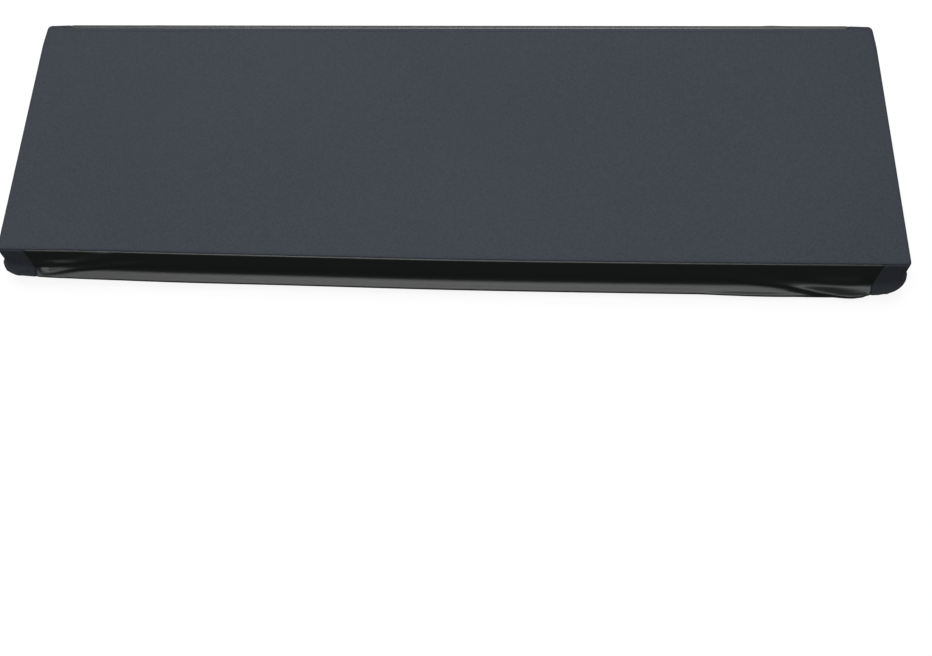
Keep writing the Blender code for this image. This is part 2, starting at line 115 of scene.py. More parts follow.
# Height of the side, by distance round the cover from the front left corner.
HEIGHTS = (
    # along, height
    (0.00, 0.062), (0.04, 0.072), (0.10, 0.077), (0.18, 0.080), (0.45, 0.082), (0.70, 0.084),
    (1.00, 0.086), (1.20, 0.087), (1.30, 0.087), (1.335, 0.080), (1.36, 0.067), (1.42, 0.077),
    (1.50, 0.080), (1.70, 0.080), (1.80, 0.074), (1.92, 0.084), (2.50, 0.086), (3.05, 0.084),
    (3.16, 0.072), (3.26, 0.080), (3.50, 0.076), (3.56, 0.072), (3.60, 0.062),
)

# Long folds of the sides: ridges along straight runs. u in metres round the cover from the front
# left corner, v across the section; the widths are those of the ridge's sides towards the top and
# towards the hem, in metres.
FOLDS = (
    # from_u, from_v, to_u, to_v, upper, lower, height
    (0.022, 0.44, 0.175, 0.13, 0.0085, 0.0050, 0.0050),
    (0.035, 0.55, 0.235, 0.24, 0.0070, 0.0050, 0.0032),
    (0.010, 0.50, 0.060, 0.47, 0.0060, 0.0045, 0.0026),
    (1.318, 0.60, 1.105, 0.34, 0.0095, 0.0060, 0.0050),
    (1.325, 0.63, 1.190, 0.50, 0.0060, 0.0040, 0.0030),
    (1.300, 0.66, 1.060, 0.585, 0.0060, 0.0045, 0.0024),
    (1.372, 0.50, 1.470, 0.22, 0.0080, 0.0060, 0.0024),
    (1.790, 0.50, 1.700, 0.20, 0.0080, 0.0060, 0.0022),
    (1.815, 0.52, 1.980, 0.16, 0.0080, 0.0060, 0.0026),
    (3.140, 0.55, 2.960, 0.20, 0.0080, 0.0060, 0.0024),
    (3.185, 0.50, 3.270, 0.22, 0.0080, 0.0060, 0.0022),
    (3.585, 0.50, 3.500, 0.20, 0.0080, 0.0060, 0.0024),
    (0.300, 0.90, 0.620, 0.80, 0.0080, 0.0060, 0.0022),
    (0.760, 0.82, 1.080, 0.90, 0.0080, 0.0060, 0.0022),
    (1.980, 0.92, 2.330, 0.76, 0.0100, 0.0070, 0.0030),
    (2.420, 0.80, 2.760, 0.90, 0.0100, 0.0070, 0.0026),
    (2.700, 0.76, 3.020, 0.86, 0.0090, 0.0070, 0.0028),
)

# Gathers of the hem: runs of small pleats that start at the hem and fade out up the cloth.
# spacing: metres between pleats. top_low, top_high: how far up they reach, as v. slant_from and
# slant_to: how far round the cover a pleat leans on its way up, at the two ends of the run.
PLEATS = (
    # from_u, to_u, spacing, height, top_low, top_high, slant_from, slant_to
    (-0.058, 0.036, 0.0060, 0.0019, 0.70, 0.50, 0.004, -0.004),
    (0.043, 0.270, 0.0105, 0.0016, 0.86, 0.66, -0.014, -0.036),
    (0.280, 1.080, 0.0200, 0.0009, 0.92, 0.80, -0.030, 0.030),
    (1.090, 1.316, 0.0105, 0.0016, 0.86, 0.66, 0.036, 0.014),
    (1.325, 1.430, 0.0060, 0.0019, 0.70, 0.50, 0.004, -0.004),
    (1.436, 1.716, 0.0074, 0.0018, 0.62, 0.36, -0.005, 0.006),
    (1.722, 1.834, 0.0060, 0.0022, 0.66, 0.44, 0.004, -0.004),
    (1.845, 2.120, 0.0095, 0.0020, 0.82, 0.58, -0.012, -0.034),
    (2.130, 2.850, 0.0200, 0.0011, 0.92, 0.76, -0.030, 0.030),
    (2.860, 3.114, 0.0095, 0.0020, 0.82, 0.58, 0.034, 0.012),
    (3.126, 3.245, 0.0060, 0.0022, 0.66, 0.44, 0.004, -0.004),
    (3.252, 3.530, 0.0074, 0.0018, 0.62, 0.36, -0.006, 0.005),
)

# Routes of the cord seen from above, on the surface that the cover stands on
LOOP_ROUTE = ((-0.5930, 0.1320), (-0.5912, 0.1250), (-0.5860, 0.1120), (-0.5790, 0.0975),
              (-0.5715, 0.0830), (-0.5650, 0.0690), (-0.5590, 0.0545), (-0.5525, 0.0400),
              (-0.5480, 0.0290), (-0.5460, 0.0190), (-0.5480, 0.0105), (-0.5540, 0.0072),
              (-0.5600, 0.0106), (-0.5650, 0.0190), (-0.5703, 0.0291))
RETURN_ROUTE = ((-0.5748, 0.0378), (-0.5795, 0.0470), (-0.5845, 0.0590), (-0.5888, 0.0730),
                (-0.5918, 0.0880), (-0.5945, 0.1020), (-0.5975, 0.1150), (-0.6000, 0.1250),
                (-0.6008, 0.1320))


def through(rows: tuple, at: np.ndarray, column: int = 1) -> np.ndarray:
    """Smooth curve through a table's rows, by its first column.

    Args:
        rows: the table, its first column rising.
        at: places on the first column.
        column: the column whose values are wanted.

    Returns:
        The column's values at those places.
    """
    table = np.array(rows, dtype=float)
    places = table[:, 0]
    values = table[:, column]
    slopes = np.gradient(values, places)
    index = np.clip(np.searchsorted(places, at, side="right") - 1, 0, len(places) - 2)
    span = places[index + 1] - places[index]
    t = np.clip((at - places[index]) / span, 0.0, 1.0)
    rise = t * t * (3 - 2 * t)
    return (values[index] * (1 - rise) + values[index + 1] * rise
            + slopes[index] * span * t * (1 - t) ** 2 - slopes[index + 1] * span * t * t * (1 - t))


def eased(share: np.ndarray) -> np.ndarray:
    """Smooth step of a share, held between 0 and 1."""
    held = np.clip(share, 0.0, 1.0)
    return held * held * (3 - 2 * held)


class Side(Enum):
    """Sides of the cover in the order of travel round it, with the heading along each."""

    FRONT = (1.0, 0.0)
    RIGHT = (0.0, 1.0)
    BACK = (-1.0, 0.0)
    LEFT = (0.0, -1.0)


HEADINGS = tuple(np.array(side.value) for side in Side)


def outward(heading: np.ndarray) -> np.ndarray:
    """Normal on the right of a heading; the outlines run anticlockwise from above."""
    return np.array((heading[1], -heading[0]))


@dataclass(frozen=True)
class Outline:
    """Rounded rectangle seen from above; its corners go front left, front right, back right, back left."""

    left: float
    right: float
    front: float
    back: float
    radii: tuple[float, float, float, float]
    reaches: tuple[float, float, float, float] = (0.10, 0.10, 0.10, 0.10)

    def corner(self, index: int) -> np.ndarray:
        """Corner of the rectangle before it is rounded.

        Args:
            index: the corner, from 0 to 3.

        Returns:
            Its place.
        """
        xs = (self.left, self.right, self.right, self.left)
        ys = (self.front, self.front, self.back, self.back)
        return np.array((xs[index], ys[index]))

    def round_corner(self, index: int, share: float) -> tuple[np.ndarray, np.ndarray]:
        """Goes round one corner.

        Args:
            index: the corner.
            share: 0 where the corner's reach starts, 1 where it ends.

        Returns:
            The point and its outward normal.
        """
        radius = self.radii[index]
        straight = self.reaches[index] - radius
        arc = radius * math.pi / 2
        run = share * (2 * straight + arc)
        into = HEADINGS[index - 1]
        away = HEADINGS[index]
        tip = self.corner(index)
        if run < straight:
            return tip - into * (self.reaches[index] - run), outward(into)
        if run > straight + arc:
            return tip + away * (run - straight - arc + radius), outward(away)
        angle = (run - straight) / radius
        normal = outward(into) * math.cos(angle) + outward(away) * math.sin(angle)
        return tip - into * radius + away * radius + normal * radius, normal


class Cover:
    """Middle surface of the cloth: u is the distance round the cover, v the place in its section."""

    width: float = 1.36
    depth: float = 0.44
    cloth: float = 1.6 * MM
    bead: float = 3.6 * MM
    gap: float = 0.4 * MM
    corner_reach: float = 0.10
    corner_ease: float = 0.10
    seam_wrap: float = 0.039
    section_length: float = 0.135
    seam_v: float = 0.06
    bead_v: float = 0.945
    groove_depth: float = 0.8 * MM
    groove_width: float = 1.5 * MM
    pleat_seed: int = 11
    pleat_stray: float = 0.28       # of the spacing, to either side
    lean_stray: float = 0.35        # of the spacing, to either side
    seam_flat: float = 0.001        # beside a band's seam, where no fold starts
    seam_calm: float = 0.012        # over which the folds then rise
    floor_ease: float = 1.5 * MM    # softness of the cloth's rest on the floor

    def __init__(self, floor: float) -> None:
        """Works out the outlines and the folds.

        Args:
            floor: height of the surface that the cover stands on.
        """
        half_width = self.width / 2
        half_depth = self.depth / 2
        edges = (-half_width, half_width, -half_depth, half_depth)
        self.floor = floor
        self.half_width = half_width
        self.half_depth = half_depth
        self.perimeter = 2 * (self.width + self.depth)
        self.starts = (0.0, self.width, self.width + self.depth, 2 * self.width + self.depth)
        self.lengths = (self.width, self.depth, self.width, self.depth)
        self.top_edge = Outline(*edges, (0.0065, 0.0065, 0.010, 0.010))
        self.foot = Outline(*edges, (0.018, 0.020, 0.030, 0.032))
        self.hem = Outline(-half_width + 0.005, half_width - 0.006, -half_depth + 0.028,
                           half_depth - 0.043, (0.045, 0.050, 0.045, 0.062),
                           (0.085, 0.085, 0.085, 0.090))
        self.hem_bow = {"front": 0.012, "back": 0.024, "end": 0.045, "end_middle": -0.05}
        self.lock_recess = {"along": self.starts[3] - 0.083, "depth": 0.008, "half": 0.030}
        wrap = self.seam_wrap
        self.band_seams = (wrap, self.width - wrap, self.starts[2] + wrap, self.starts[3] - wrap)
        self.pleats = self.make_pleats()

    def make_pleats(self) -> list[tuple[float, float, float, float, float]]:
        """Spaces the small pleats of the hem unevenly.

        Returns:
            For each pleat its u at the hem, its lean, the v of its upper end, width and height.
        """
        chance = random.Random(self.pleat_seed)
        pleats = []
        for from_u, to_u, spacing, height, top_low, top_high, slant_from, slant_to in PLEATS:
            count = max(2, round((to_u - from_u) / spacing))
            for k in range(count):
                share = (k + 0.5 + chance.uniform(-self.pleat_stray, self.pleat_stray)) / count
                lean = slant_from + (slant_to - slant_from) * share
                lean += chance.uniform(-self.lean_stray, self.lean_stray) * spacing
                top = top_low + (top_high - top_low) * chance.random() ** 1.6
                width = spacing * chance.uniform(0.27, 0.42)
                tall = height * chance.uniform(0.45, 1.25)
                pleats.append((from_u + (to_u - from_u) * share, lean, top, width, tall))
        return pleats

    def outline_points(self, outline: Outline, us: np.ndarray) -> tuple[np.ndarray, np.ndarray]:
        """Points and outward normals of an outline.

        Args:
            outline: one of the cover's outlines.
            us: distances round the cover.

        Returns:
            Two arrays with a row for each distance.
        """
        places = []
        normals = []
        for u in us % self.perimeter:
            side = max(k for k in range(4) if self.starts[k] <= u)
            along = u - self.starts[side]
            following = (side + 1) % 4
            from_end = along - self.lengths[side] + self.corner_reach
            if along < self.corner_reach:
                place, normal = outline.round_corner(side, 0.5 + along / (2 * self.corner_reach))
            elif from_end > 0:
                place, normal = outline.round_corner(following, from_end / (2 * self.corner_reach))
            else:
                heading = HEADINGS[side]
                start = outline.corner(side) + heading * outline.reaches[side]
                end = outline.corner(following) - heading * outline.reaches[following]
                share = (along - self.corner_reach) / (self.lengths[side] - 2 * self.corner_reach)
                place, normal = start * (1 - share) + end * share, outward(heading)
            places.append(place)
            normals.append(normal)
        return np.array(places), np.array(normals)

    def strayed(self, points: np.ndarray) -> np.ndarray:
        """Moves points by the unevenness of the front and back edges, fading to the middle.

        Args:
            points: points seen from above.

        Returns:
            The moved points.
        """
        moved = points.copy()
        front = np.clip(-points[:, 1] / self.half_depth, 0.0, 1.0)
        back = np.clip(points[:, 1] / self.half_depth, 0.0, 1.0)
        moved[:, 1] += back * through(BACK_STRAY, points[:, 0])
        moved[:, 1] -= front * through(FRONT_STRAY, points[:, 0])
        return moved

    def bowed(self, points: np.ndarray, us: np.ndarray) -> np.ndarray:
        """Draws the hem's sides inwards towards its corners, and out where the lock lies.

        Args:
            points: points seen from above.
            us: distances round the cover.

        Returns:
            The moved points.
        """
        moved = points.copy()
        x = points[:, 0] / self.half_width
        y = points[:, 1]
        end_run = (y - self.hem_bow["end_middle"]) / self.half_depth
        front_back = np.where(y < 0, self.hem_bow["front"], -self.hem_bow["back"])
        moved[:, 1] += front_back * x ** 2 * np.clip(np.abs(y) / self.hem.back, 0, 1)
        moved[:, 0] -= (np.sign(x) * self.hem_bow["end"] * end_run ** 2
                        * np.clip(np.abs(x), 0, 1) ** 8)
        recess = self.lock_recess
        moved[:, 1] += recess["depth"] * np.exp(-((us - recess["along"]) / recess["half"]) ** 2)
        return moved

    def apart(self, us: np.ndarray, place: float) -> np.ndarray:
        """Signed distance round the cover from a place, the shorter way."""
        return (us - place + self.perimeter / 2) % self.perimeter - self.perimeter / 2

    def side_weights(self, us: np.ndarray) -> tuple[np.ndarray, np.ndarray, np.ndarray]:
        """How far each column belongs to the front, the ends and the back; they add up to 1.

        Args:
            us: distances round the cover.

        Returns:
            A weight for each column: front, ends, back.
        """
        weights = []
        for start, length in zip(self.starts, self.lengths):
            distance = np.abs(self.apart(us, start + length / 2))
            weights.append(eased((length / 2 - distance) / self.corner_ease + 0.5))
        front, right, back, left = weights
        return front, right + left, back

    def base(self, us: np.ndarray, vs: np.ndarray) -> np.ndarray:
        """Cloth without its folds.

        Args:
            us: distances round the cover.
            vs: places in the section.

        Returns:
            Points over u, v.
        """
        top, top_normal = self.outline_points(self.top_edge, us)
        foot, foot_normal = self.outline_points(self.foot, us)
        hem, _ = self.outline_points(self.hem, us)
        top = self.strayed(top)[:, None, :]
        foot = self.strayed(foot)[:, None, :]
        hem = self.strayed(self.bowed(hem, us))[:, None, :]
        column = {name: through(SECTION, vs, SECTION_COLUMNS.index(name))[None, :]
                  for name in SECTION_COLUMNS[1:]}
        blend = column["blend"][..., None]
        normal = top_normal[:, None, :] * (1 - blend) + foot_normal[:, None, :] * blend
        normal /= np.linalg.norm(normal, axis=2, keepdims=True)
        front, end, back = (weight[:, None] for weight in self.side_weights(us))
        out = column["front_out"] * front + column["end_out"] * end + column["back_out"] * back
        drop = column["drop"] * (1 - back) + column["back_drop"] * back
        level = top * (1 - blend) + foot * blend + normal * out[..., None]
        sink = column["sink"][..., None]
        level = level * (1 - sink) + hem * sink
        height = through(HEIGHTS, us % self.perimeter)[:, None]
        z = self.cloth / 2 - drop - column["fall"] * height
        return np.concatenate((level, z[..., None]), axis=2)

    def normals(self, us: np.ndarray, vs: np.ndarray) -> np.ndarray:
        """Outward normals of the cloth without its folds.

        Args:
            us: distances round the cover.
            vs: places in the section.

        Returns:
            Unit vectors over u, v.
        """
        du = 1e-4
        dv = 1e-3
        along = self.base(us + du, vs) - self.base(us - du, vs)
        across = self.base(us, np.minimum(vs + dv, 1.0)) - self.base(us, np.maximum(vs - dv, 0.0))
        normal = np.cross(across, along)
        return normal / np.linalg.norm(normal, axis=2, keepdims=True)

    def seam_distance(self, us: np.ndarray) -> np.ndarray:
        """Distance round the cover to the nearest seam between two bands."""
        return np.min([np.abs(self.apart(us, seam)) for seam in self.band_seams], axis=0)

    def long_folds(self, us: np.ndarray, vs: np.ndarray) -> np.ndarray:
        """Height of the long folds over u, v.

        Args:
            us: distances round the cover.
            vs: places in the section.

        Returns:
            How far the folds stand out.
        """
        height = np.zeros((len(us), len(vs)))
        length = self.section_length
        for from_u, from_v, to_u, to_v, upper, lower, ridge in FOLDS:
            run_u = to_u - from_u
            run_v = (to_v - from_v) * length
            run = math.hypot(run_u, run_v)
            du = self.apart(us, from_u)[:, None]
            dv = ((vs - from_v) * length)[None, :]
            share = (du * run_u + dv * run_v) / run ** 2
            aside = (du * run_v - dv * run_u) / run * math.copysign(1.0, run_u)
            width = np.where(aside > 0, upper, lower)
            fade = np.clip(4 * share * (1 - share), 0, 1) ** 0.7
            height += ridge * fade * np.exp(-(aside / width) ** 2)
        return height

    def small_pleats(self, us: np.ndarray, vs: np.ndarray) -> np.ndarray:
        """Height of the hem's pleats over u, v.

        Args:
            us: distances round the cover.
            vs: places in the section.

        Returns:
            How far the pleats stand out.
        """
        height = np.zeros((len(us), len(vs)))
        for at, lean, top, width, tall in self.pleats:
            du = self.apart(us, at)
            near = np.nonzero(np.abs(du) < abs(lean) + 4 * width)[0]
            up = (1.0 - vs) / (1.0 - top)
            aside = du[near][:, None] - lean * up[None, :]
            spread = width * (0.75 + 0.5 * up)[None, :]
            fade = np.clip(1 - up, 0, 1)[None, :] ** 0.6 * (0.55 + 0.45 * eased(6 * up))[None, :]
            height[near] += tall * fade * np.exp(-(aside / spread) ** 2)
        return height

    def middle(self, us: np.ndarray, vs: np.ndarray) -> tuple[np.ndarray, np.ndarray]:
        """Cloth with its folds, its seams drawn in a little.

        Args:
            us: distances round the cover.
            vs: places in the section.

        Returns:
            Points and outward normals over u, v.
        """
        normal = self.normals(us, vs)
        calm = eased((self.seam_distance(us) - self.seam_flat) / self.seam_calm)[:, None]
        rise = (self.long_folds(us, vs) + self.small_pleats(us, vs)) * calm
        across = np.abs(vs - self.seam_v)[None, :] * self.section_length
        along = self.seam_distance(us)[:, None]
        below = (vs > self.seam_v)[None, :]
        rise -= self.groove_depth * np.exp(-(across / self.groove_width) ** 2)
        rise -= self.groove_depth * np.exp(-(along / self.groove_width) ** 2) * below
        points = self.base(us, vs) + normal * rise[..., None]
        lowest = self.floor + self.cloth / 2
        ease = self.floor_ease
        under = np.minimum(points[..., 2] - lowest - ease, 0.0)
        points[..., 2] += ease * np.exp(under / ease) - ease - under
        return points, normal

    def layers(self, us: np.ndarray, vs: np.ndarray) -> tuple[np.ndarray, np.ndarray]:
        """Outer and inner faces of the cloth, thicker round the cord in the hem.

        Args:
            us: distances round the cover.
            vs: places in the section.

        Returns:
            Points of the outer face and of the inner face over u, v.
        """
        points, normal = self.middle(us, vs)
        share = np.clip((vs - self.bead_v) / (1 - self.bead_v), 0, 1)
        swell = np.sin(math.pi * share) ** 0.5
        half = (self.cloth + (self.bead - self.cloth) * swell)[None, :, None] / 2
        return points + normal * half, points - normal * half


# ---------------------------------------------------------------- materials


def linear(hex_code: str) -> Colour:
    """Linear colour of an sRGB hex code.

    Args:
        hex_code: a hash and six hexadecimal digits.

    Returns:
        Red, green, blue and an alpha of 1.
    """
    values = [int(hex_code[k:k + 2], 16) / 255 for k in (1, 3, 5)]
    red, green, blue = (c / 12.92 if c <= 0.04045 else ((c + 0.055) / 1.055) ** 2.4 for c in values)
    return red, green, blue, 1.0


def add_node(tree: bpy.types.NodeTree, kind: str, settings: dict[str, object],
             inputs: dict[str | int, object]) -> bpy.types.Node:
    """Adds a node with its settings and links.

    Args:
        tree: the material's or world's node tree.
        kind: the node's type.
        settings: the node's own properties.
        inputs: for each input either a value or the socket that feeds it.

    Returns:
        The node.
    """
    node = tree.nodes.new(kind)
    for name, value in settings.items():
        setattr(node, name, value)
    for name, value in inputs.items():
        if isinstance(value, Socket):
            tree.links.new(value, node.inputs[name])
        else:
            node.inputs[name].default_value = value
    return node


# Inputs and outputs of a Mix node that mixes colours
MIX_FACTOR, MIX_A, MIX_B = 0, 6, 7
MIX_RESULT = 2


def new_tree(name: str) -> tuple[bpy.types.Material, bpy.types.NodeTree]:
    """Empty node material of a name.

    Args:
        name: the material's name.

    Returns:
        The material and its node tree.
    """
    material = bpy.data.materials.new(name)
    material.use_nodes = True
    material.node_tree.nodes.clear()
    return material, material.node_tree


@dataclass(frozen=True)
class Knit:
    """Knitted fabric: columns of loops (wales) down the cloth, fibre speckle, a slow change of tone, and
    painted shade that darkens the colour in the hollows between the loops and lightens it on their crests.

    The loops are about 0.5 mm wide on the real cloth; they are drawn twice as coarse, so that they
    show as grain. Pattern coordinates are the cloth's own, in metres.
    """

    name: str
    dark: str
    light: str
    roughness: float
    specular: float
    ior: float
    sheen: float
    sheen_colour: str
    wale: float = 1.1 * MM
    course: float = 0.9 * MM
    loop_depth: float = 0.10 * MM
    # share of painted shade taken from the loops' relief: darker between the loops, lighter on them
    loop_painted_shade: float = 0.20
    fibre: float = 2.0 * MM
    fibre_shade: float = 0.5
    tone_length: float = 0.35
    tone_shade: float = 0.25

    def build(self) -> bpy.types.Material:
        """Makes the node material.

        Returns:
            The material.
        """
        material, tree = new_tree(self.name)
        coordinates = add_node(tree, "ShaderNodeTexCoord", {}, {})
        cloth = coordinates.outputs["UV"]
        parts = add_node(tree, "ShaderNodeSeparateXYZ", {}, {0: cloth})
        across = add_node(tree, "ShaderNodeMath", {"operation": "DIVIDE"},
                          {0: parts.outputs["X"], 1: self.wale})
        half_loop = add_node(tree, "ShaderNodeMath", {"operation": "PINGPONG"},
                             {0: across.outputs[0], 1: 0.5})
        slanted = add_node(tree, "ShaderNodeMath", {"operation": "MULTIPLY_ADD"},
                           {0: parts.outputs["Y"], 1: 1 / self.course, 2: half_loop.outputs[0]})
        turned = add_node(tree, "ShaderNodeMath", {"operation": "MULTIPLY"},
                          {0: slanted.outputs[0], 1: 2 * math.pi})
        leg = add_node(tree, "ShaderNodeMath", {"operation": "SINE"}, {0: turned.outputs[0]})
        rib_turn = add_node(tree, "ShaderNodeMath", {"operation": "MULTIPLY"},
                            {0: half_loop.outputs[0], 1: 2 * math.pi})
        rib = add_node(tree, "ShaderNodeMath", {"operation": "SINE"}, {0: rib_turn.outputs[0]})
        loop = add_node(tree, "ShaderNodeMath", {"operation": "MULTIPLY_ADD"},
                        {0: leg.outputs[0], 1: 0.35, 2: rib.outputs[0]})
        place = coordinates.outputs["Object"]
        fibre = add_node(tree, "ShaderNodeTexNoise", {"noise_dimensions": "3D"},
                         {"Vector": place, "Scale": 1 / self.fibre, "Detail": 2.0,
                          "Roughness": 0.6})
        tone = add_node(tree, "ShaderNodeTexNoise", {"noise_dimensions": "3D"},
                        {"Vector": place, "Scale": 1 / self.tone_length, "Detail": 2.0,
                         "Roughness": 0.45})
        speckled = add_node(tree, "ShaderNodeMath", {"operation": "MULTIPLY_ADD"},
                            {0: fibre.outputs["Fac"], 1: self.fibre_shade,
                             2: 0.5 - self.fibre_shade / 2 - self.tone_shade / 2})
        toned = add_node(tree, "ShaderNodeMath", {"operation": "MULTIPLY_ADD"},
                         {0: tone.outputs["Fac"], 1: self.tone_shade, 2: speckled.outputs[0]})
        # painted shade: the colour follows the loops' relief, darker in the hollows between them
        shaded = add_node(tree, "ShaderNodeMath",
                          {"operation": "MULTIPLY_ADD", "use_clamp": True},
                          {0: loop.outputs[0], 1: self.loop_painted_shade, 2: toned.outputs[0]})
        colour = add_node(tree, "ShaderNodeMix", {"data_type": "RGBA"},
                          {MIX_FACTOR: shaded.outputs[0], MIX_A: linear(self.dark),
                           MIX_B: linear(self.light)})
        rough = add_node(tree, "ShaderNodeMapRange", {},
                         {"Value": fibre.outputs["Fac"], "From Min": 0.3, "From Max": 0.7,
                          "To Min": self.roughness - 0.04, "To Max": self.roughness + 0.04})
        relief = add_node(tree, "ShaderNodeMath", {"operation": "MULTIPLY_ADD"},
                          {0: fibre.outputs["Fac"], 1: 1.2, 2: loop.outputs[0]})
        bump = add_node(tree, "ShaderNodeBump", {},
                        {"Strength": 0.5, "Distance": self.loop_depth, "Height": relief.outputs[0]})
        shader = add_node(tree, "ShaderNodeBsdfPrincipled", {},
                          {"Base Color": colour.outputs[MIX_RESULT],
                           "Roughness": rough.outputs["Result"], "IOR": self.ior,
                           "Specular IOR Level": self.specular, "Sheen Weight": self.sheen,
                           "Sheen Tint": linear(self.sheen_colour), "Sheen Roughness": 0.5,
                           "Normal": bump.outputs["Normal"]})
        add_node(tree, "ShaderNodeOutputMaterial", {}, {"Surface": shader.outputs[0]})
        return material


# Brushed polyester and elastane knit: matt charcoal with a soft fibre grain and no gloss.
CHARCOAL_KNIT = Knit(name="brushed_polyester_knit", dark="#23272C", light="#393D45",
                     roughness=0.92, specular=0.25, ior=1.53, sheen=0.04,
                     sheen_colour="#8C94A3", fibre=2.6 * MM, fibre_shade=1.3)
# Warp-knitted nylon with a satin face: nearly black, faintly green, with long soft gloss on folds.
BLACK_SATIN_KNIT = Knit(name="nylon_satin_tricot", dark="#080D0B", light="#141A18",
                        roughness=0.36, specular=1.0, ior=1.53, sheen=0.02,
                        sheen_colour="#5B6B63", loop_depth=0.04 * MM, wale=0.9 * MM)


@dataclass(frozen=True)
class Braid:
    """Braided polyester cord: shiny filament strands that cross in small diamonds, with painted shade in
    the hollows between them.
    """

    name: str = "braided_polyester"
    # painted shade: colour of the hollows between the strands
    painted_hollow_shade: str = "#07080A"
    strand: str = "#1B1D20"
    roughness: float = 0.55
    pitch: float = 3.4 * MM
    strands: int = 8
    depth: float = 0.12 * MM

    def build(self) -> bpy.types.Material:
        """Makes the node material; the cord's own coordinates run along it and round it.

        Returns:
            The material.
        """
        material, tree = new_tree(self.name)
        coordinates = add_node(tree, "ShaderNodeTexCoord", {}, {})
        parts = add_node(tree, "ShaderNodeSeparateXYZ", {}, {0: coordinates.outputs["UV"]})
        run = add_node(tree, "ShaderNodeMath", {"operation": "MULTIPLY"},
                       {0: parts.outputs["X"], 1: 2 * math.pi / self.pitch * 4})
        turn = add_node(tree, "ShaderNodeMath", {"operation": "MULTIPLY"},
                        {0: parts.outputs["Y"], 1: 2 * math.pi * self.strands / 2})
        waves = []
        for operation in ("ADD", "SUBTRACT"):
            phase = add_node(tree, "ShaderNodeMath", {"operation": operation},
                             {0: turn.outputs[0], 1: run.outputs[0]})
            waves.append(add_node(tree, "ShaderNodeMath", {"operation": "COSINE"},
                                  {0: phase.outputs[0]}))
        over = add_node(tree, "ShaderNodeMath", {"operation": "MAXIMUM"},
                        {0: waves[0].outputs[0], 1: waves[1].outputs[0]})
        shade = add_node(tree, "ShaderNodeMapRange", {},
                         {"Value": over.outputs[0], "From Min": -0.4, "From Max": 1.0})
        # painted shade: darker where the strands dip, the strands' own colour on their crests
        colour = add_node(tree, "ShaderNodeMix", {"data_type": "RGBA"},
                          {MIX_FACTOR: shade.outputs["Result"], MIX_A: linear(self.painted_hollow_shade),
                           MIX_B: linear(self.strand)})
        fuzz = add_node(tree, "ShaderNodeTexNoise", {},
                        {"Vector": coordinates.outputs["Object"], "Scale": 1 / (0.4 * MM),
                         "Detail": 2.0})
        rough = add_node(tree, "ShaderNodeMapRange", {},
                         {"Value": fuzz.outputs["Fac"], "To Min": self.roughness - 0.10,
                          "To Max": self.roughness + 0.10})
        relief = add_node(tree, "ShaderNodeMath", {"operation": "MULTIPLY_ADD"},
                          {0: fuzz.outputs["Fac"], 1: 0.4, 2: over.outputs[0]})
        bump = add_node(tree, "ShaderNodeBump", {},
                        {"Strength": 0.6, "Distance": self.depth, "Height": relief.outputs[0]})
        shader = add_node(tree, "ShaderNodeBsdfPrincipled", {},
                          {"Base Color": colour.outputs[MIX_RESULT],
                           "Roughness": rough.outputs["Result"], "IOR": 1.57,
                           "Sheen Weight": 0.15, "Normal": bump.outputs["Normal"]})
        add_node(tree, "ShaderNodeOutputMaterial", {}, {"Surface": shader.outputs[0]})
        return material


@dataclass(frozen=True)
class Solid:
    """Hard or threadlike finish with grain in its colour, gloss and surface."""

    name: str
    dark: str
    light: str
    roughness: float
    grain: float
    grain_depth: float
    stretch: tuple[float, float, float] = (1.0, 1.0, 1.0)
    roughness_swing: float = 0.08
    metallic: float = 0.0
    ior: float = 1.5

    def build(self) -> bpy.types.Material:
        """Makes the node material; the grain may be drawn out along an axis.

        Returns:
            The material.
        """
        material, tree = new_tree(self.name)
        coordinates = add_node(tree, "ShaderNodeTexCoord", {}, {})
        placed = add_node(tree, "ShaderNodeMapping", {},
                          {"Vector": coordinates.outputs["Object"], "Scale": self.stretch})
        grain = add_node(tree, "ShaderNodeTexNoise", {},
                         {"Vector": placed.outputs[0], "Scale": 1 / self.grain, "Detail": 4.0,
                          "Roughness": 0.55})
        colour = add_node(tree, "ShaderNodeMix", {"data_type": "RGBA"},
                          {MIX_FACTOR: grain.outputs["Fac"], MIX_A: linear(self.dark),
                           MIX_B: linear(self.light)})
        rough = add_node(tree, "ShaderNodeMapRange", {},
                         {"Value": grain.outputs["Fac"], "From Min": 0.3, "From Max": 0.7,
                          "To Min": self.roughness - self.roughness_swing,
                          "To Max": self.roughness + self.roughness_swing})
        bump = add_node(tree, "ShaderNodeBump", {},
                        {"Strength": 0.4, "Distance": self.grain_depth,
                         "Height": grain.outputs["Fac"]})
        shader = add_node(tree, "ShaderNodeBsdfPrincipled", {},
                          {"Base Color": colour.outputs[MIX_RESULT],
                           "Roughness": rough.outputs["Result"], "Metallic": self.metallic,
                           "IOR": self.ior, "Normal": bump.outputs["Normal"]})
        add_node(tree, "ShaderNodeOutputMaterial", {}, {"Surface": shader.outputs[0]})
        return material


# Injection-moulded acetal: black, a low gloss and the faint orange peel of a polished mould.
MOULDED_ACETAL = Solid(name="moulded_acetal", dark="#0D0E0F", light="#191A1C", roughness=0.36,
                       grain=0.5 * MM, grain_depth=0.02 * MM, ior=1.48)
# Drawn stainless spring wire: bright, with fine lines along the wire.
SPRING_WIRE = Solid(name="drawn_spring_steel", dark="#9C9C99", light="#D9D8D3", roughness=0.22,
                    grain=0.12 * MM, grain_depth=0.005 * MM, metallic=1.0,
                    stretch=(0.3, 1.0, 1.0))
# Spun polyester sewing thread: black, soft and a little hairy.
SEWING_THREAD = Solid(name="spun_polyester_thread", dark="#0B0D0E", light="#23272A", roughness=0.7,
                      grain=0.25 * MM, grain_depth=0.05 * MM, ior=1.57)


# ---------------------------------------------------------------- making meshes


def deselect_all() -> None:
    """Leaves object mode's selection empty."""
    for thing in bpy.context.view_layer.objects:
        thing.select_set(False)


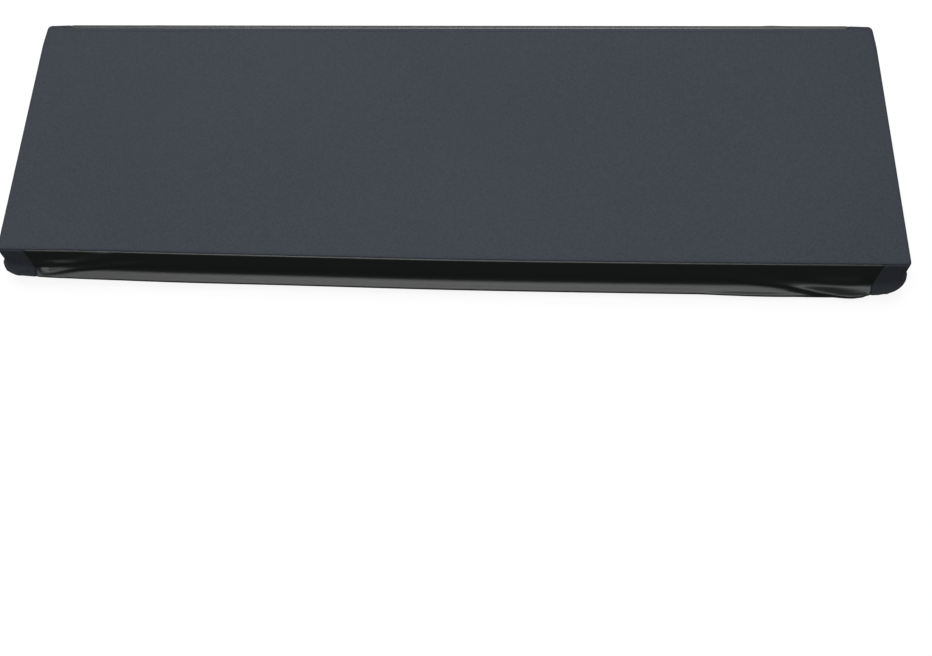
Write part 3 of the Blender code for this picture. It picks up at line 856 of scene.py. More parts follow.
def spaced(start: float, end: float, step_at: Callable) -> np.ndarray:
    """Places between two ends whose spacing follows a rule.

    Args:
        start: first place.
        end: last place.
        step_at: gives the wanted step at an array of places.

    Returns:
        The places, both ends included.
    """
    dense = np.linspace(start, end, 4001)
    count = np.concatenate(([0.0], np.cumsum(np.diff(dense) / step_at((dense[1:] + dense[:-1]) / 2))))
    whole = max(2, round(count[-1]))
    return np.interp(np.linspace(0, count[-1], whole + 1), count, dense)


def cloth_object(name: str, points: np.ndarray, faces: np.ndarray, flat: np.ndarray,
                 material: bpy.types.Material) -> bpy.types.Object:
    """Makes a smooth cloth piece with its own flat coordinates.

    Args:
        name: the piece's name.
        points: vertices.
        faces: four vertex numbers for each face.
        flat: the place of each vertex on the flat cloth, in metres.
        material: its finish.

    Returns:
        The piece.
    """
    mesh = bpy.data.meshes.new(name)
    mesh.from_pydata(points.tolist(), [], faces.tolist())
    layer = mesh.uv_layers.new(name="UVMap")
    layer.data.foreach_set("uv", flat[faces.ravel()].astype(np.float32).ravel())
    mesh.shade_smooth()
    mesh.materials.append(material)
    piece = bpy.data.objects.new(name, mesh)
    bpy.context.scene.collection.objects.link(piece)
    return piece


def two_sided(outer: np.ndarray, inner: np.ndarray) -> tuple[np.ndarray, np.ndarray]:
    """Closes the outer and inner faces of a strip of cloth along its four edges.

    Args:
        outer: points over u, v.
        inner: the same on the other side.

    Returns:
        All points, and the faces that join them, facing out.
    """
    columns, rows, _ = outer.shape
    points = np.concatenate((outer.reshape(-1, 3), inner.reshape(-1, 3)))
    number = np.arange(columns * rows).reshape(columns, rows)
    under = number + columns * rows
    a, b, c, d = number[:-1, :-1], number[:-1, 1:], number[1:, 1:], number[1:, :-1]
    faces = [np.stack((a, b, c, d), axis=2).reshape(-1, 4)]
    faces.append(np.stack((d, c, b, a), axis=2).reshape(-1, 4) + columns * rows)
    rims = ((number[:-1, 0], number[1:, 0], under[1:, 0], under[:-1, 0]),
            (number[1:, -1], number[:-1, -1], under[:-1, -1], under[1:, -1]),
            (number[0, 1:], number[0, :-1], under[0, :-1], under[0, 1:]),
            (number[-1, :-1], number[-1, 1:], under[-1, 1:], under[-1, :-1]))
    faces.extend(np.stack(rim, axis=1) for rim in rims)
    return points, np.concatenate(faces)


# ---------------------------------------------------------------- cloth pieces


@dataclass
class Bands:
    """The four bands that hang from the top panel's edge, each with its hem."""

    cover: Cover
    charcoal: bpy.types.Material
    satin: bpy.types.Material
    corner_step: float = 1.15 * MM
    end_step: float = 1.5 * MM
    middle_step: float = 3.6 * MM
    busy_reach: float = 0.20        # how far from a corner the long bands are finely divided
    row_step: float = 1.75 * MM
    fine_row_step: float = 0.55 * MM
    row_growth: float = 0.35        # by which a row's step grows with distance
    seam_step: float = 0.4 * MM     # column step at a band's seam
    column_growth: float = 0.4

    def columns(self, from_u: float, to_u: float) -> np.ndarray:
        """Places of the mesh's columns, close together where the gathers are.

        Args:
            from_u: first place round the cover.
            to_u: last place.

        Returns:
            The places of the columns.
        """
        cover = self.cover
        corners = np.array(cover.starts)

        def step(us: np.ndarray) -> np.ndarray:
            """Wanted distance between columns."""
            nearest = np.min([np.abs(cover.apart(us, corner)) for corner in corners], axis=0)
            on_end = cover.side_weights(us)[1] > 0.5
            far = np.where(on_end, self.end_step, self.middle_step)
            share = eased((nearest - 0.06) / (self.busy_reach - 0.06))
            fine = self.corner_step + (far - self.corner_step) * share
            return np.minimum(fine, self.seam_step + cover.seam_distance(us) * self.column_growth)

        return spaced(from_u + cover.gap / 2, to_u - cover.gap / 2, step)

    def rows(self) -> np.ndarray:
        """Places of the mesh's rows, close together at the seam and round the hem's cord.

        Returns:
            The places of the rows.
        """
        cover = self.cover

        def step(vs: np.ndarray) -> np.ndarray:
            """Wanted distance between rows."""
            from_seam = np.abs(vs - cover.seam_v) * cover.section_length
            from_bead = np.maximum(cover.bead_v - 0.01 - vs, 0) * cover.section_length
            near = np.minimum(from_seam, from_bead)
            metres = np.minimum(self.row_step, self.fine_row_step + near * self.row_growth)
            return metres / cover.section_length

        return spaced(cover.seam_v + cover.gap / cover.section_length, 1.0, step)

    def build_band(self, node: str, from_u: float, to_u: float,
                   material: bpy.types.Material) -> bpy.types.Object:
        """Makes one band.

        Args:
            node: the solid that it stands for.
            from_u: where it starts round the cover.
            to_u: where it ends.
            material: its knit.

        Returns:
            The piece.
        """
        cover = self.cover
        us = self.columns(from_u, to_u)
        vs = self.rows()
        outer, inner = cover.layers(us, vs)
        points, faces = two_sided(outer, inner)
        steps = np.linalg.norm(np.diff(cover.base(us, vs), axis=1), axis=2).mean(axis=0)
        down = np.concatenate(([0.0], np.cumsum(steps)))
        flat = np.stack(np.meshgrid(us - from_u, down, indexing="ij"), axis=2).reshape(-1, 2)
        piece = cloth_object(f"{node}_cloth", points, faces, np.concatenate((flat, flat)), material)
        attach(piece, BODY)
        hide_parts(node)
        LOG.info("%s: %d columns, %d rows, %d triangles, cut %.3f x %.3f m", piece.name, len(us),
                 len(vs), 2 * len(faces), to_u - from_u, down[-1])
        return piece

    def build(self) -> None:
        """Makes the four bands, each from one seam to the next."""
        seams = self.cover.band_seams
        start = seams[0] + self.cover.perimeter
        self.build_band("front_band", seams[0], seams[1], self.satin)
        self.build_band("right_end_band", seams[1], seams[2], self.charcoal)
        self.build_band("back_band", seams[2], seams[3], self.satin)
        self.build_band("left_end_band", seams[3], start, self.charcoal)


@dataclass
class TopPanel:
    """The flat top with its edge rolled down to the seam."""

    cover: Cover
    charcoal: bpy.types.Material
    long_cells: int = 230
    short_cells: int = 84
    crowding: float = 1.55          # how much the cells close up towards the corners
    ring_rows: int = 11
    slack: float = 0.35 * MM        # height of the slow waves in the flat part

    def side_places(self, length: float, cells: int) -> np.ndarray:
        """Places along one side, closer together towards its ends.

        Args:
            length: the side's length.
            cells: how many cells it has.

        Returns:
            The places, both ends included.
        """
        shares = np.linspace(-1, 1, cells + 1)
        return length / 2 * (1 + np.tanh(self.crowding * shares) / math.tanh(self.crowding))

    def waves(self, points: np.ndarray) -> np.ndarray:
        """Slow waves of the taut cloth, fading out towards its edge.

        Args:
            points: points of the flat part.

        Returns:
            How far each rises.
        """
        x, y = points[..., 0], points[..., 1]
        cover = self.cover
        edge = np.minimum((cover.half_width - np.abs(x)) / 0.12, (cover.half_depth - np.abs(y)) / 0.08)
        long_wave = np.sin(9.0 * x + 3.5 * y + 0.6) * np.cos(6.1 * y - 2.2 * x)
        cross_wave = 0.6 * np.sin(17.0 * x - 11.0 * y + 2.0) * np.sin(13.0 * y + 4.0 * x)
        return self.slack * eased(edge) * (long_wave + cross_wave)

    def build(self) -> bpy.types.Object:
        """Makes the panel: a net of cells inside, and rows that follow the rolled edge.

        Returns:
            The piece.
        """
        cover = self.cover
        along = self.side_places(cover.width, self.long_cells)
        aside = self.side_places(cover.depth, self.short_cells)
        us = np.concatenate((along[:-1], cover.starts[1] + aside[:-1], cover.starts[2] + along[:-1],
                             cover.starts[3] + aside[:-1]))
        shares = np.linspace(0, 1, self.ring_rows) ** 0.85
        vs = cover.seam_v * shares
        outer, inner = cover.layers(us, vs)
        nx, ny = self.long_cells, self.short_cells
        round_trip = [(i, 0) for i in range(nx)] + [(nx, j) for j in range(ny)]
        round_trip += [(nx - i, ny) for i in range(nx)] + [(0, ny - j) for j in range(ny)]
        loop = cover.middle(us, vs)[0][:, 0, :]
        net = np.zeros((nx + 1, ny + 1, 3))
        for (i, j), point in zip(round_trip, loop):
            net[i, j] = point
        s = ((along / cover.width)[:, None])[..., None]
        t = ((aside / cover.depth)[None, :])[..., None]
        front, back, left, right = net[:, :1], net[:, -1:], net[:1], net[-1:]
        corners = ((1 - s) * (1 - t) * net[0, 0] + s * (1 - t) * net[-1, 0]
                   + (1 - s) * t * net[0, -1] + s * t * net[-1, -1])
        filled = (1 - t) * front + t * back + (1 - s) * left + s * right - corners
        filled[..., 2] += self.waves(filled)
        half = cover.cloth / 2
        count = len(us) * self.ring_rows
        ring_number = np.arange(count).reshape(len(us), self.ring_rows)
        net_number = np.zeros((nx + 1, ny + 1), dtype=int)
        net_number[1:-1, 1:-1] = count + np.arange((nx - 1) * (ny - 1)).reshape(nx - 1, ny - 1)
        for k, (i, j) in enumerate(round_trip):
            net_number[i, j] = ring_number[k, 0]
        following = np.roll(ring_number, -1, axis=0)
        ring_faces = np.stack((ring_number[:, :-1], ring_number[:, 1:], following[:, 1:],
                               following[:, :-1]), axis=2).reshape(-1, 4)
        net_faces = np.stack((net_number[:-1, :-1], net_number[1:, :-1], net_number[1:, 1:],
                              net_number[:-1, 1:]), axis=2).reshape(-1, 4)
        inside = filled[1:-1, 1:-1].reshape(-1, 3)
        lift = np.array((0.0, 0.0, half))
        upper = np.concatenate((outer.reshape(-1, 3), inside + lift))
        lower = np.concatenate((inner.reshape(-1, 3), inside - lift))
        one_side = np.concatenate((ring_faces, net_faces))
        rim = np.stack((following[:, -1], ring_number[:, -1], ring_number[:, -1] + len(upper),
                        following[:, -1] + len(upper)), axis=1)
        faces = np.concatenate((one_side, one_side[:, ::-1] + len(upper), rim))
        run = np.concatenate((np.zeros((len(us), 1)), np.cumsum(
            np.linalg.norm(np.diff(cover.base(us, vs), axis=1), axis=2), axis=1)), axis=1)
        away = cover.outline_points(cover.top_edge, us)[1][:, None, :]
        flat_ring = loop[:, None, :2] + away * run[..., None]
        flat = np.concatenate((flat_ring.reshape(-1, 2), inside[:, :2]))
        piece = cloth_object("top_panel_cloth", np.concatenate((upper, lower)), faces,
                             np.concatenate((flat, flat)), self.charcoal)
        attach(piece, BODY)
        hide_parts("top_panel")
        return piece


@dataclass
class HemStitching:
    """Row of stitches that holds the cord's casing, all along the hem."""

    cover: Cover
    thread_material: bpy.types.Material
    pitch: float = 3.2 * MM
    stitch: float = 2.4 * MM
    thread: float = 0.5 * MM
    sides: int = 5
    inset: float = 0.7 * MM         # how far above the casing's edge the stitches lie

    def build(self) -> bpy.types.Object:
        """Lays a short tapered stitch every few millimetres on the outer face.

        Returns:
            All the stitches as one piece.
        """
        cover = self.cover
        v = cover.bead_v - self.inset / cover.section_length
        count = round(cover.perimeter / self.pitch)
        centres = (np.arange(count) + 0.5) * cover.perimeter / count
        centres = centres[cover.seam_distance(centres) > self.stitch * 0.8]
        vs = np.array((v,))
        points = []
        stations = np.linspace(-0.5, 0.5, 5)
        rings = []
        for station in stations:
            outer, _ = cover.layers(centres + station * self.stitch, vs)
            rings.append(outer[:, 0, :])
        _, normal = cover.middle(centres, vs)
        normal = normal[:, 0, :]
        along = rings[-1] - rings[0]
        along /= np.linalg.norm(along, axis=1, keepdims=True)
        aside = np.cross(normal, along)
        for station, middle in zip(stations, rings):
            bulge = math.sqrt(max(0.0, 1 - (2 * station) ** 2))
            radius = self.thread / 2 * (0.35 + 0.65 * bulge)
            sunk = self.thread * (0.30 * bulge - 0.15)
            for k in range(self.sides):
                angle = 2 * math.pi * k / self.sides
                points.append(middle + normal * (sunk + radius * math.sin(angle))
                              + aside * (radius * math.cos(angle)))
        rows = np.stack(points, axis=1)
        per_stitch = rows.shape[1]
        quads = []
        for ring in range(len(stations) - 1):
            for k in range(self.sides):
                here = ring * self.sides + k
                there = ring * self.sides + (k + 1) % self.sides
                quads.append((here, there, there + self.sides, here + self.sides))
        first = tuple(range(self.sides))[::-1]
        last = tuple(range(per_stitch - self.sides, per_stitch))
        faces = []
        for base in range(0, len(centres) * per_stitch, per_stitch):
            faces.extend(tuple(base + corner for corner in face) for face in (*quads, first, last))
        mesh = bpy.data.meshes.new("hem_stitching")
        mesh.from_pydata(rows.reshape(-1, 3).tolist(), [], faces)
        mesh.shade_smooth()
        mesh.materials.append(self.thread_material)
        piece = bpy.data.objects.new("hem_stitching", mesh)
        bpy.context.scene.collection.objects.link(piece)
        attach(piece, BODY)
        LOG.info("%s: %d stitches", piece.name, len(centres))
        return piece


# ---------------------------------------------------------------- drawcord and lock


def smooth_route(route: np.ndarray, step: float) -> np.ndarray:
    """Evenly spaced points on a smooth curve through a route's own points.

    Args:
        route: points in order, two or three numbers each.
        step: distance wanted between the points.

    Returns:
        The points.
    """
    points = np.array(route)
    tangents = np.gradient(points, axis=0)
    dense = []
    for k in range(len(points) - 1):
        for t in np.linspace(0, 1, 24, endpoint=False):
            rise = t * t * (3 - 2 * t)
            dense.append(points[k] * (1 - rise) + points[k + 1] * rise
                         + tangents[k] * t * (1 - t) ** 2 - tangents[k + 1] * t * t * (1 - t))
    dense.append(points[-1])
    dense = np.array(dense)
    lengths = np.concatenate(([0.0], np.cumsum(np.linalg.norm(np.diff(dense, axis=0), axis=1))))
    count = max(2, round(lengths[-1] / step) + 1)
    at = np.linspace(0, lengths[-1], count)
    return np.stack([np.interp(at, lengths, dense[:, k]) for k in range(points.shape[1])], axis=1)


def tube(name: str, path: np.ndarray, radii: np.ndarray, sides: int,
         relief: Callable, material: bpy.types.Material) -> bpy.types.Object:
    """Closed tube along a path, with relief on its surface.

    Args:
        name: the piece's name.
        path: points of the centreline.
        radii: radius at each point.
        sides: points round the tube.
        relief: added to the radius, from the distance along and the turn round it, 0 to 1.
        material: its finish.

    Returns:
        The piece, with coordinates along it and round it.
    """
    tangents = np.gradient(path, axis=0)
    tangents /= np.linalg.norm(tangents, axis=1, keepdims=True)
    upright = np.array((0.0, 0.0, 1.0)) if abs(tangents[0, 2]) < 0.9 else np.array((1.0, 0.0, 0.0))
    aside = np.cross(upright, tangents[0])
    frames = []
    for tangent in tangents:
        aside = aside - tangent * (aside @ tangent)
        aside = aside / np.linalg.norm(aside)
        frames.append((aside, np.cross(tangent, aside)))
    run = np.concatenate(([0.0], np.cumsum(np.linalg.norm(np.diff(path, axis=0), axis=1))))
    turns = np.arange(sides) / sides
    points = []
    for centre, radius, (a, b), along in zip(path, radii, frames, run):
        reach = radius + relief(along, turns) * (radius > 0)
        for turn, distance in zip(turns, reach):
            angle = 2 * math.pi * turn
            points.append(centre + (a * math.cos(angle) + b * math.sin(angle)) * distance)
    faces = []
    uvs = []
    for i in range(len(path) - 1):
        for k in range(sides):
            after = (k + 1) % sides
            here = i * sides
            there = here + sides
            faces.append((here + k, here + after, there + after, there + k))
            uvs.extend(((run[i], k / sides), (run[i], (k + 1) / sides),
                        (run[i + 1], (k + 1) / sides), (run[i + 1], k / sides)))
    last = (len(path) - 1) * sides
    faces.append(tuple(range(sides))[::-1])
    faces.append(tuple(range(last, last + sides)))
    uvs.extend([(0.0, 0.0)] * sides + [(run[-1], 0.0)] * sides)
    mesh = bpy.data.meshes.new(name)
    mesh.from_pydata([tuple(p) for p in points], [], faces)
    layer = mesh.uv_layers.new(name="UVMap")
    layer.data.foreach_set("uv", np.array(uvs, dtype=np.float32).ravel())
    mesh.shade_smooth()
    mesh.materials.append(material)
    piece = bpy.data.objects.new(name, mesh)
    bpy.context.scene.collection.objects.link(piece)
    return piece


@dataclass
class Drawcord:
    """The hem's cord where it comes out: a loop with its two ends knotted together."""

    cover: Cover
    braid: bpy.types.Material
    diameter: float = 2.8 * MM
    step: float = 0.45 * MM
    sides: int = 20
    strands: int = 8
    pitch: float = 3.4 * MM
    relief: float = 0.09 * MM
    casing_y: float = 0.1492        # where the cord comes out of the hem's casing
    casing_rise: float = 4.0 * MM
    knot_place: tuple[float, float] = (-0.5725, 0.0335)
    knot_strand: float = 1.05 * MM
    knot_points: int = 180
    tag_ends: tuple = ((6.4, -1.5, -0.4), (5.2, 2.6, 1.4))      # from the knot, in millimetres
    knot_radii: tuple[float, float, float] = (2.5 * MM, 2.6 * MM, 1.5 * MM)

    def braid_relief(self, along: float, turns: np.ndarray) -> np.ndarray:
        """Height of the strands that cross in diamonds.

        Args:
            along: distance along the cord.
            turns: turns round it, from 0 to 1.

        Returns:
            What to add to the radius.
        """
        run = 2 * math.pi * along / self.pitch * 4
        round_it = 2 * math.pi * self.strands / 2 * turns
        return self.relief * np.maximum(np.cos(round_it + run), np.cos(round_it - run))

    def run_of_cord(self, name: str, node: str, route: tuple, entry: Vector,
                    first: bool) -> tuple[bpy.types.Object, np.ndarray]:
        """Makes one stretch of the cord.

        Args:
            name: the piece's name.
            node: the solid that it stands for.
            route: points seen from above.
            entry: where it comes out of the casing.
            first: whether the route starts at the lock, or ends there.

        Returns:
            The piece and its centreline.
        """
        low = self.cover.floor + self.diameter / 2
        places = [(x, y, low) for x, y in route]
        lock_end = places[0] if first else places[-1]
        inside = (lock_end[0], (lock_end[1] + entry.y) / 2, low + 1.2 * MM)
        through_lock = [tuple(entry), inside]
        places = through_lock + places if first else places + through_lock[::-1]
        path = smooth_route(np.array(places), self.step)
        radii = np.full(len(path), self.diameter / 2)
        piece = tube(name, path, radii, self.sides, self.braid_relief, self.braid)
        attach(piece, BODY)
        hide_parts(node)
        return piece, path

    def knot(self) -> bpy.types.Object:
        """Ties the ends in a small tight knot with two short tags.

        Returns:
            The knot, with its tags as children.
        """
        x, y = self.knot_place
        strand = self.knot_strand
        wide, deep, high = self.knot_radii
        centre = np.array((x, y, self.cover.floor + high + strand + 0.2 * MM))
        turns = np.linspace(0, 2 * math.pi, self.knot_points)
        shape = np.stack(((np.sin(turns) + 2 * np.sin(2 * turns)) / 3 * wide,
                          (np.cos(turns) - 2 * np.cos(2 * turns)) / 3 * deep,
                          -np.sin(3 * turns) * high), axis=1)
        body = tube("drawcord_knot_turns", centre + shape, np.full(self.knot_points, strand), 12,
                    self.braid_relief, self.braid)
        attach(body, BODY)
        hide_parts("drawcord_knot")
        for number, (reach_x, reach_y, rise) in enumerate(self.tag_ends):
            start = centre + np.array((1.2 * MM, 0.0, 0.0))
            end = centre + np.array((reach_x, reach_y, rise)) * MM
            bend = (start + end) / 2 + np.array((0.0, 0.5, 0.8)) * MM
            path = smooth_route(np.array((start, bend, end)), 0.3 * MM)
            radii = np.full(len(path), strand * 0.95)
            radii[-3:] = strand * np.array((0.9, 0.7, 0.35))
            tag = tube(f"drawcord_tag_{number + 1}", path, radii, 12, self.braid_relief, self.braid)
            tag.parent = body
        return body

    def build(self, lock: list[bpy.types.Object]) -> None:
        """Makes both stretches and the knot.

        Args:
            lock: the pieces of the cord lock; not used.
        """
        hem_z = self.cover.floor + self.diameter / 2 + self.casing_rise
        loop_entry = Vector((LOOP_ROUTE[0][0], self.casing_y, hem_z))
        return_entry = Vector((RETURN_ROUTE[-1][0], self.casing_y, hem_z))
        knot = self.knot()
        loop, loop_path = self.run_of_cord("drawcord_loop_braid", "drawcord_loop", LOOP_ROUTE,
                                           loop_entry, True)
        back, back_path = self.run_of_cord("drawcord_return_braid", "drawcord_return",
                                           RETURN_ROUTE, return_entry, False)


@dataclass
class CordLock:
    """Barrel lock on the cord: a ribbed body, a wire spring and a push button, lying on its side."""

    floor: float
    plastic: bpy.types.Material
    steel: bpy.types.Material
    place: tuple[float, float] = (-0.597, 0.1375)
    radius: float = 5.2 * MM
    length: float = 11.5 * MM
    button_radius: float = 4.5 * MM
    button_length: float = 5.5 * MM
    button_gap: float = 3.4 * MM
    stem_radius: float = 2.2 * MM
    spring_radius: float = 3.2 * MM
    wire: float = 0.45 * MM
    spring_turns: float = 4.5
    spring_points: int = 160
    sides: int = 56
    cord_holes: tuple[float, float] = (-0.5930, -0.6008)
    hole_radius: float = 1.75 * MM

    def lathe(self, name: str, rows: tuple) -> bpy.types.Object:
        """Turns a profile by extruding and resizing a disc, row by row.

        Args:
            name: the piece's name.
            rows: distance along the axis and radius, in metres, from one closed end to the other.

        Returns:
            The piece.
        """
        deselect_all()
        x, y = self.place
        start = Vector((x - self.length / 2, y, self.floor + self.radius))
        along, radius = rows[0]
        bpy.ops.mesh.primitive_circle_add(vertices=self.sides, radius=radius, fill_type="NGON",
                                          location=start + Vector((along, 0, 0)),
                                          rotation=(0, math.radians(90), 0))
        piece = bpy.context.object
        piece.name = name
        bpy.ops.object.transform_apply(location=True, rotation=True, scale=True)
        bpy.ops.object.mode_set(mode="EDIT")
        bpy.ops.mesh.select_all(action="SELECT")
        for next_along, next_radius in rows[1:]:
            bpy.ops.mesh.extrude_region_move(
                TRANSFORM_OT_translate={"value": (next_along - along, 0, 0)})
            scale = next_radius / radius
            bpy.ops.transform.resize(value=(1, scale, scale),
                                     center_override=start + Vector((next_along, 0, 0)))
            along, radius = next_along, next_radius
        bpy.ops.mesh.select_all(action="SELECT")
        bpy.ops.mesh.normals_make_consistent(inside=False)
        bpy.ops.object.mode_set(mode="OBJECT")
        return piece

    def drill(self, piece: bpy.types.Object, x: float) -> None:
        """Bores a cord hole through a piece, from front to back.

        Args:
            piece: the piece.
            x: the hole's place along the lock.
        """
        deselect_all()
        bpy.ops.mesh.primitive_cylinder_add(vertices=24, radius=self.hole_radius, depth=0.02,
                                            location=(x, self.place[1],
                                                      self.floor + self.hole_radius + 1.0 * MM),
                                            rotation=(math.radians(90), 0, 0))
        cutter = bpy.context.object
        bpy.ops.object.transform_apply(location=True, rotation=True, scale=True)
        bpy.context.view_layer.objects.active = piece
        modifier = piece.modifiers.new("cord hole", "BOOLEAN")
        modifier.operation = "DIFFERENCE"
        modifier.solver = "EXACT"
        modifier.object = cutter
        bpy.ops.object.modifier_apply(modifier=modifier.name)
        bpy.data.objects.remove(cutter, do_unlink=True)

    def finish(self, piece: bpy.types.Object, material: bpy.types.Material, node: str) -> bpy.types.Object:
        """Smooths, dresses and fastens one piece of the lock.

        Args:
            piece: the piece.
            material: its finish.
            node: the solid that it stands for.

        Returns:
            The piece.
        """
        deselect_all()
        piece.select_set(True)
        bpy.context.view_layer.objects.active = piece
        bpy.ops.object.shade_smooth_by_angle(angle=math.radians(32))
        piece.data.materials.clear()
        piece.data.materials.append(material)
        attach(piece, BODY)
        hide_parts(node)
        LOG.info("%s: %d faces", piece.name, len(piece.data.polygons))
        return piece

    def body(self) -> bpy.types.Object:
        """Makes the ribbed barrel with its bore and its two cord holes.

        Returns:
            The barrel.
        """
        outer = self.radius
        dip = outer - 0.45 * MM
        bore = self.stem_radius + 0.4 * MM
        rows = [(0.0, 1.2 * MM), (0.0, 3.3 * MM), (0.25 * MM, 3.8 * MM), (0.9 * MM, 4.6 * MM),
                (1.7 * MM, outer - 0.1 * MM), (2.2 * MM, outer)]
        for rib in range(3):
            along = (2.9 + 1.15 * rib) * MM
            rows += [(along, outer), (along + 0.2 * MM, dip), (along + 0.55 * MM, dip),
                     (along + 0.75 * MM, outer)]
        rows += [(self.length - 1.1 * MM, outer), (self.length - 0.45 * MM, outer - 0.15 * MM),
                 (self.length, outer - 0.7 * MM), (self.length, bore + 0.3 * MM),
                 (self.length - 0.3 * MM, bore), (6.0 * MM, bore), (6.0 * MM, 0.5 * MM)]
        piece = self.lathe("cord_lock_barrel", tuple(rows))
        for x in self.cord_holes:
            self.drill(piece, x)
        return self.finish(piece, self.plastic, "cord_lock_body")

    def button(self) -> bpy.types.Object:
        """Makes the push button with its stem and dished end.

        Returns:
            The button.
        """
        reach = self.length + self.button_gap
        rim = self.button_radius
        end = reach + self.button_length
        rows = ((6.8 * MM, 0.8 * MM), (6.8 * MM, self.stem_radius - 0.3 * MM),
                (7.1 * MM, self.stem_radius), (reach, self.stem_radius),
                (reach, rim - 0.6 * MM), (reach + 0.2 * MM, rim - 0.2 * MM),
                (reach + 0.6 * MM, rim), (end - 1.6 * MM, rim), (end - 0.8 * MM, rim - 0.25 * MM),
                (end - 0.2 * MM, rim - 0.9 * MM), (end, rim - 1.5 * MM),
                (end - 0.15 * MM, rim - 2.1 * MM), (end - 0.5 * MM, 1.2 * MM),
                (end - 0.55 * MM, 0.4 * MM))
        return self.finish(self.lathe("cord_lock_push_button", rows), self.plastic,
                           "cord_lock_button")

    def spring(self) -> bpy.types.Object:
        """Winds the spring between the body and the button.

        Returns:
            The spring.
        """
        x, y = self.place
        near = x - self.length / 2 + self.length + self.wire / 2 + 0.1 * MM
        far = near + self.button_gap - self.wire - 0.2 * MM
        centre_z = self.floor + self.radius
        shares = np.linspace(0, 1, self.spring_points)
        angle = 2 * math.pi * self.spring_turns * shares
        closed = eased(shares)
        path = np.stack((near + (far - near) * closed, y + self.spring_radius * np.cos(angle),
                         centre_z + self.spring_radius * np.sin(angle)), axis=1)
        piece = tube("cord_lock_spring_coil", path, np.full(self.spring_points, self.wire / 2), 8,
                     lambda along, turns: np.zeros(len(turns)), self.steel)
        return self.finish(piece, self.steel, "cord_lock_spring")

    def build(self) -> list[bpy.types.Object]:
        """Makes the three pieces of the lock."""
        return [self.body(), self.button(), self.spring()]


# ---------------------------------------------------------------- studio


@dataclass
class Softbox:
    """Rectangular soft light that points at a place."""

    name: str
    place: tuple[float, float, float]
    target: tuple[float, float, float]
    size: tuple[float, float]
    power: float
    colour: str = "#FFFFFF"

    def build(self) -> None:
        """Adds the light; it isn't seen itself."""
        data = bpy.data.lights.new(self.name, "AREA")
        data.shape = "RECTANGLE"
        data.size, data.size_y = self.size
        data.energy = self.power
        data.color = linear(self.colour)[:3]
        light = bpy.data.objects.new(self.name, data)
        light.location = self.place
        aim = Vector(self.target) - Vector(self.place)
        light.rotation_euler = aim.to_track_quat("-Z", "Y").to_euler()
        light.visible_camera = False
        bpy.context.scene.collection.objects.link(light)


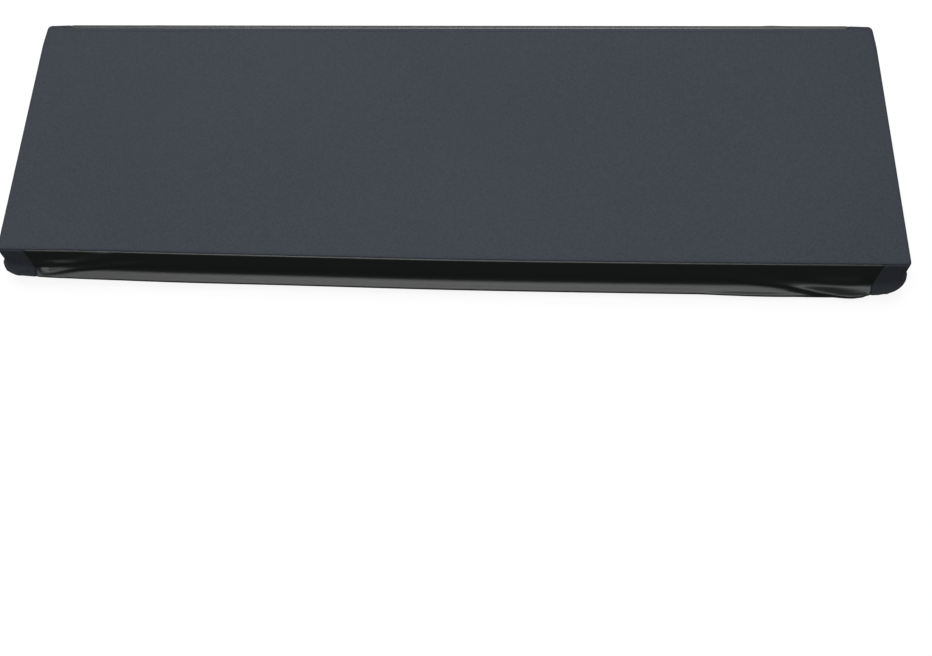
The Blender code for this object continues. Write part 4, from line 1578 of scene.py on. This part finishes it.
@dataclass
class Studio:
    """Camera, pale floor and soft light."""

    floor: float
    camera_place: tuple[float, float, float] = (0.077, -1.217, 1.645)
    camera_turn: tuple[float, float, float] = (28.02, 1.04, 1.29)
    lens: float = 50.0
    floor_size: float = 14.0
    floor_glow: float = 0.90
    surround: float = 0.035
    backdrop: float = 0.93

    def camera(self) -> None:
        """Places the camera above and in front, looking down."""
        data = bpy.data.cameras.new("camera")
        data.lens = self.lens
        data.sensor_width = 36.0
        camera = bpy.data.objects.new("camera", data)
        camera.location = self.camera_place
        camera.rotation_euler = Euler([math.radians(angle) for angle in self.camera_turn])
        bpy.context.scene.collection.objects.link(camera)
        bpy.context.scene.camera = camera

    def paper(self) -> bpy.types.Material:
        """Matt white paper that glows a little, so that its shadows stay faint.

        Returns:
            The material.
        """
        material, tree = new_tree("matt_white_paper")
        place = add_node(tree, "ShaderNodeTexCoord", {}, {})
        fibres = add_node(tree, "ShaderNodeTexNoise", {},
                          {"Vector": place.outputs["Object"], "Scale": 900.0, "Detail": 2.0})
        tone = add_node(tree, "ShaderNodeMix", {"data_type": "RGBA"},
                        {MIX_FACTOR: fibres.outputs["Fac"], MIX_A: linear("#5A5A5A"),
                         MIX_B: linear("#636363")})
        matt = add_node(tree, "ShaderNodeBsdfDiffuse", {}, {"Color": tone.outputs[MIX_RESULT]})
        glow = add_node(tree, "ShaderNodeEmission", {}, {"Strength": self.floor_glow})
        seen = add_node(tree, "ShaderNodeAddShader", {},
                        {0: matt.outputs[0], 1: glow.outputs[0]})
        clear = add_node(tree, "ShaderNodeBsdfTransparent", {}, {})
        facing = add_node(tree, "ShaderNodeNewGeometry", {}, {})
        one_way = add_node(tree, "ShaderNodeMixShader", {},
                           {0: facing.outputs["Backfacing"], 1: seen.outputs[0],
                            2: clear.outputs[0]})
        add_node(tree, "ShaderNodeOutputMaterial", {}, {"Surface": one_way.outputs[0]})
        return material

    def lay_floor(self) -> None:
        """Lays the floor under the cover; it sends no light back to the cloth."""
        deselect_all()
        bpy.ops.mesh.primitive_plane_add(size=self.floor_size, location=(0, 0, self.floor))
        floor = bpy.context.object
        floor.name = "studio_floor"
        bpy.ops.object.transform_apply(location=True, rotation=True, scale=True)
        floor.data.materials.append(self.paper())
        floor.visible_diffuse = False
        floor.visible_glossy = False

    def surroundings(self) -> None:
        """Pale where the camera sees past the floor, dim as a source of light."""
        world = bpy.data.worlds.new("studio")
        world.use_nodes = True
        tree = world.node_tree
        tree.nodes.clear()
        dim = add_node(tree, "ShaderNodeBackground", {}, {"Strength": self.surround})
        pale = add_node(tree, "ShaderNodeBackground", {}, {"Strength": self.backdrop})
        ray = add_node(tree, "ShaderNodeLightPath", {}, {})
        both = add_node(tree, "ShaderNodeMixShader", {},
                        {0: ray.outputs["Is Camera Ray"], 1: dim.outputs[0], 2: pale.outputs[0]})
        add_node(tree, "ShaderNodeOutputWorld", {}, {"Surface": both.outputs[0]})
        bpy.context.scene.world = world

    def lights(self) -> None:
        """Hangs a large softbox overhead and low strips round the cover."""
        foot = (0.0, 0.0, self.floor)
        boxes = (
            Softbox("overhead", (-0.15, 0.25, 2.4), (0.0, 0.0, 0.0), (3.0, 2.0), 92.0),
            Softbox("front_strip", (0.0, -1.75, 0.36), foot, (2.6, 0.90), 12.0),
            Softbox("back_strip", (0.0, 1.75, 0.60), foot, (2.6, 0.45), 8.0),
            Softbox("left_strip", (-2.2, 0.0, 0.75), foot, (1.6, 0.5), 6.0),
            Softbox("right_strip", (2.2, 0.0, 0.75), foot, (1.6, 0.5), 6.0),
        )
        for box in boxes:
            box.build()

    def build(self) -> None:
        """Makes the studio."""
        self.lay_floor()
        self.surroundings()
        self.lights()
        bpy.context.scene.view_settings.view_transform = "Standard"
        LOG.info("studio: floor at %.4f m", self.floor)


def main() -> None:
    """Builds the camera, the cord, the cloth and the studio."""
    logging.basicConfig(level=logging.INFO, format="%(message)s")
    floor = CAD_LOW.z
    cover = Cover(floor)
    studio = Studio(floor)
    studio.camera()
    braid = Braid().build()
    lock = CordLock(floor, MOULDED_ACETAL.build(), SPRING_WIRE.build()).build()
    Drawcord(cover, braid).build(lock)
    charcoal = CHARCOAL_KNIT.build()
    TopPanel(cover, charcoal).build()
    Bands(cover, charcoal, BLACK_SATIN_KNIT.build()).build()
    HemStitching(cover, SEWING_THREAD.build()).build()
    studio.build()


if __name__ == "__main__":
    main()
